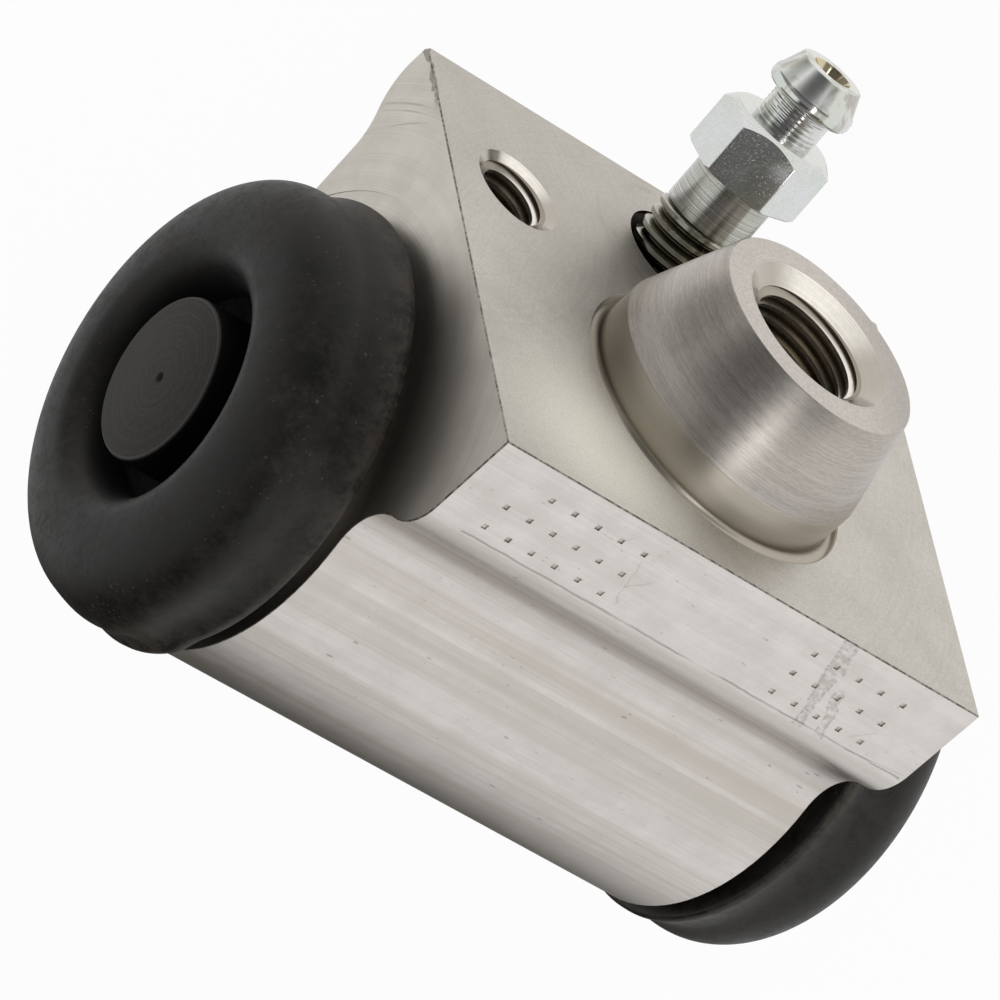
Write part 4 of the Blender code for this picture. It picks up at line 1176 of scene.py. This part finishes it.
def make_piston(word, side, material):
    groove_radius = STUB_RADIUS - STUB_GROOVE_DEPTH
    profile = beside(0, STUB_REACH, (0, -0.45), (0.12, -0.4), (0.42, 0))
    profile += beside(STUB_RADIUS, STUB_REACH, (-STUB_EDGE, 0), (-0.09, -0.09), (0, -STUB_EDGE))
    profile += [
        (STUB_RADIUS, STUB_GROOVE_END),
        (groove_radius, STUB_GROOVE_END),
        (groove_radius, STUB_GROOVE_START),
        (STUB_RADIUS, STUB_GROOVE_START),
        (STUB_RADIUS, PISTON_SHOULDER),
        (PISTON_RADIUS - END_CHAMFER, PISTON_SHOULDER),
        (PISTON_RADIUS, PISTON_SHOULDER - END_CHAMFER),
        (PISTON_RADIUS, END_CHAMFER - PISTON_FACE),
        (PISTON_RADIUS - END_CHAMFER, -PISTON_FACE),
        (0, -PISTON_FACE),
    ]
    piston = turned("piston_" + word + "_turned", profile, material)
    placed(piston, end_place(side), (side, 0, 0))
    shade(piston)
    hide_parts("piston_" + word)
    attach(piston, word + "_piston")


def boot_profile(reach):
    """The boot's section: skirt, front roll, inner leaf and lip."""
    steps = 22
    depth = reach - BOOT_ROLL_START
    quarter = [math.pi / 2 * i / steps for i in range(steps + 1)]

    def roll(radius, height_span, angles):
        crest, start = BOOT_CREST_RADIUS, BOOT_ROLL_START
        span = radius - crest
        return [(crest + span * math.sin(a), start + height_span * math.cos(a)) for a in angles]

    profile = roll(BOOT_ROLL_RADIUS, depth, quarter)
    skirt_start = BOOT_RIM_START + BOOT_RIM_LENGTH
    skirt_steps = 16
    shares = [i / skirt_steps for i in range(1, skirt_steps)]
    for share in shares:
        sag = math.sin(math.pi * share) ** 2 * BOOT_VALLEY_DEPTH
        flare = (BOOT_RIM_RADIUS - BOOT_ROLL_RADIUS) * share**4
        height = BOOT_ROLL_START + (skirt_start - BOOT_ROLL_START) * share
        profile.append((BOOT_ROLL_RADIUS - sag + flare, height))
    profile += beside(BOOT_RIM_RADIUS, skirt_start, (0, 0), (0.02, -0.1))
    profile += beside(BOOT_RIM_RADIUS, BOOT_RIM_START, (0, 0.2), (-0.12, 0.05), (-0.35, 0))
    profile += [(BOOT_BEAD_RADIUS, BOOT_RIM_START), (BOOT_BEAD_RADIUS, BOOT_BEAD_END)]
    # The hollow behind the roll
    skirt_inner = BOOT_ROLL_RADIUS - BOOT_WALL
    leaf_outer = BOOT_LEAF_RADIUS + BOOT_WALL
    for share in [0] + shares:
        profile.append((skirt_inner, BOOT_BEAD_END + (BOOT_ROLL_START - BOOT_BEAD_END) * share))
    profile += roll(skirt_inner, depth - BOOT_WALL, quarter[::-1])
    profile += roll(leaf_outer, depth - BOOT_WALL, quarter[1:])
    profile += [
        (leaf_outer - BOOT_WALL / 2, BOOT_LIP_START),
        (BOOT_LIP_RADIUS, BOOT_LIP_START),
        (BOOT_LIP_RADIUS, BOOT_LIP_END),
        (BOOT_LEAF_RADIUS - BOOT_WALL / 2, BOOT_LIP_END),
    ]
    profile += roll(BOOT_LEAF_RADIUS, depth, quarter[:0:-1])
    return profile + profile[:1]


def settle_rim(boot, side):
    """The rubber rim sits a little high on its spigot, and the left one bulges below."""
    moves = [(RIM_SHIFT, BOOT_RIM_START + BOOT_RIM_LENGTH, -1, RIM_SHIFT_SPREAD)]
    if side < 0:
        bulge = RIM_BULGE_DIRECTION * RIM_BULGE
        moves.append((bulge, RIM_BULGE_REACH, RIM_BULGE_FACING, RIM_BULGE_SPREAD))
    for shift, reach, facing, size in moves:

        def near_rim(point):
            spread = Vector((0, point.y - BORE_Y, point.z - BORE_Z))
            return (
                spread.length > BOOT_ROLL_RADIUS - 0.3 * MM
                and side * point.x - HALF_LENGTH < reach + WELD
                and spread.normalized().dot(RIM_BULGE_DIRECTION) >= facing - WELD
            )

        pick_points(boot, near_rim)
        bpy.ops.transform.translate(
            value=shift,
            use_proportional_edit=True,
            proportional_edit_falloff="SMOOTH",
            proportional_size=size,
            use_proportional_connected=True,
        )
        bpy.ops.object.mode_set(mode="OBJECT")


def make_boot(word, side, material):
    boot = turned("boot_" + word + "_rubber", boot_profile(BOOT_REACH[word]), material)
    placed(boot, end_place(side), (side, 0, 0))
    settle_rim(boot, side)
    shade(boot, 40)
    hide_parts("boot_" + word)
    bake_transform(boot)


def dress_inner_pieces():
    """New finishes for the pieces that stay hidden in the bore."""
    steel = speckled("expander_steel", (0.40, 0.40, 0.38), (0.58, 0.57, 0.55), 0.35)
    black, grey = (0.02, 0.02, 0.02), (0.035, 0.035, 0.034)
    rubber = speckled("cup_rubber", black, grey, 0.45, 700, 0.0, 0.006)
    finishes = {"cup": rubber, "expander": steel}
    for name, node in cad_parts.items():
        kind = name.split("_")[0]
        if kind in finishes:
            node.data.materials.clear()
            node.data.materials.append(finishes[kind])


def make_spring(word, side, material):
    """One half of the coil, cut off at the middle and capped."""
    half = linked("spring_half_" + word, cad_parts["spring"].data.copy())
    half.data.materials.clear()
    half.data.materials.append(material)
    only(half)
    bpy.ops.object.mode_set(mode="EDIT")
    bpy.ops.mesh.select_all(action="SELECT")
    bpy.ops.mesh.remove_doubles(threshold=SPRING_MERGE)
    bpy.ops.mesh.bisect(
        plane_co=(side * SPRING_MERGE, 0, 0),
        plane_no=(side, 0, 0),
        use_fill=True,
        clear_inner=True,
    )
    bpy.ops.object.mode_set(mode="OBJECT")
    shade(half, 40)
    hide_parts("spring")
    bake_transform(half)


# Floor, light and camera

CAMERA_PLACE = Vector((-284.405, -375.753, 251.113)) * MM
CAMERA_TURN = [math.radians(degrees) for degrees in (53.7665, -42.0348, -10.6020)]
CAMERA_LENS = 265.78
FLOOR_SIZE = 8
FLOOR_DROP = 0.16
FLOOR_SHADE_BEARING = math.radians(-119)

# Where the surroundings are dark: direction, cosines where it starts and is full, and what is left
DARK_PARTS = (
    (Vector((-0.75, -0.66, 0.12)), 0.50, 0.96, 0.24),
    (Vector((-0.87, 0.48, 0.10)), 0.78, 0.96, 0.30),
    (Vector((-0.60, -0.45, 0.62)), 0.70, 0.93, 0.14),
    (Vector((0.10, -0.75, 0.65)), 0.86, 0.97, 0.30),
)

# Name, place, width, height and power
LAMPS = (
    ("front_strip", (-0.12, -0.78, 0.15), 0.10, 0.5, 0.7),
    ("camera_side_softbox", (-0.15, -0.73, 0.67), 0.10, 0.16, 0.22),
)


def make_floor():
    """A pale floor that shows as white, also to the metal, apart from a dark patch and band of
    painted shade.
    """
    plane = bpy.ops.mesh.primitive_plane_add
    floor = added("studio_floor", plane, size=FLOOR_SIZE, location=(0, 0, -FLOOR_DROP))
    made = Finish("pale_floor", Roughness=0.9)
    aside = (made.along(0) * 0.8 - made.along(1) * 0.6).size()
    clear_of_shade_patch = (made.turn_about(BLEED_MOUTH) - FLOOR_SHADE_BEARING).size().span(0.24, 0.52)
    clear_of_shade_band = aside.span(0.025, 0.11)
    dark, pale = rgb(0.07, 0.068, 0.058), rgb(0.42, 0.41, 0.40)
    made.feed(made.shader.inputs["Base Color"], made.colour(clear_of_shade_patch * clear_of_shade_band, dark, pale))
    seen = made.node("LightPath", {}, {}, "Is Camera Ray")
    mirrored = made.node("LightPath", {}, {}, "Is Glossy Ray")
    white = seen * 0.97 + mirrored * aside.span(0.06, 0.15) * clear_of_shade_patch * 0.94
    glow = made.node("Emission", {}, {"Color": rgb(1, 1, 1), "Strength": 1.0})
    shader = Value(made, made.shader.outputs[0])
    mixed = made.node("MixShader", {}, {0: white, 1: shader, 2: glow})
    made.feed(made.tree.nodes["Material Output"].inputs["Surface"], mixed)
    floor.data.materials.append(made.material)


def make_world():
    """White all round, apart from the darker room behind the camera and on its left."""
    world = bpy.data.worlds.new("studio")
    bpy.context.scene.world = world
    world.use_nodes = True
    made = Nodes(world.node_tree)
    direction = made.node("TexCoord", {}, {}, "Generated")
    level = 1.0
    for toward, start, full, left in DARK_PARTS:
        facing = made.vector_maths("DOT_PRODUCT", direction, toward.normalized(), "Value")
        level = made.maths("MINIMUM", level, facing.span(start, full, 1.0, left))
    surround = made.tree.nodes["Background"]
    made.feed(surround.inputs["Color"], rgb(1.0, 0.985, 0.965))
    made.feed(surround.inputs["Strength"], level)
    white = made.node("Background", {}, {"Color": rgb(1, 1, 1)})
    seen = made.node("LightPath", {}, {}, "Is Camera Ray")
    mixed = made.node("MixShader", {}, {0: seen, 1: Value(made, surround.outputs[0]), 2: white})
    made.feed(made.tree.nodes["World Output"].inputs["Surface"], mixed)


def make_lamp(name, place, width, height, power):
    lamp = added(name, bpy.ops.object.light_add, type="AREA", location=place)
    lamp.data.shape = "RECTANGLE"
    lamp.data.size = width
    lamp.data.size_y = height
    lamp.data.energy = power
    aim = Vector((0, 0, BORE_Z)) - Vector(place)
    lamp.rotation_euler = aim.to_track_quat("-Z", "Y").to_euler()


def make_camera():
    data = bpy.data.cameras.new("photo_camera")
    camera = linked("photo_camera", data)
    camera.location = CAMERA_PLACE
    camera.rotation_euler = CAMERA_TURN
    data.sensor_width = 36
    data.lens = CAMERA_LENS
    data.clip_start = 0.01
    data.clip_end = 20
    bpy.context.scene.camera = camera


make_camera()
make_floor()
make_world()
for lamp in LAMPS:
    make_lamp(*lamp)
make_body()
make_bleed_screw()
dark_piston = piston_finish()
rubber = boot_rubber()
wire = speckled("spring_steel", (0.28, 0.27, 0.26), (0.45, 0.44, 0.42), 0.3)
for word, side in SIDES:
    make_piston(word, side, dark_piston)
    make_boot(word, side, rubber)
dress_inner_pieces()
for word, side in SIDES:
    make_spring(word, side, wire)
bpy.context.scene.view_settings.view_transform = "Standard"
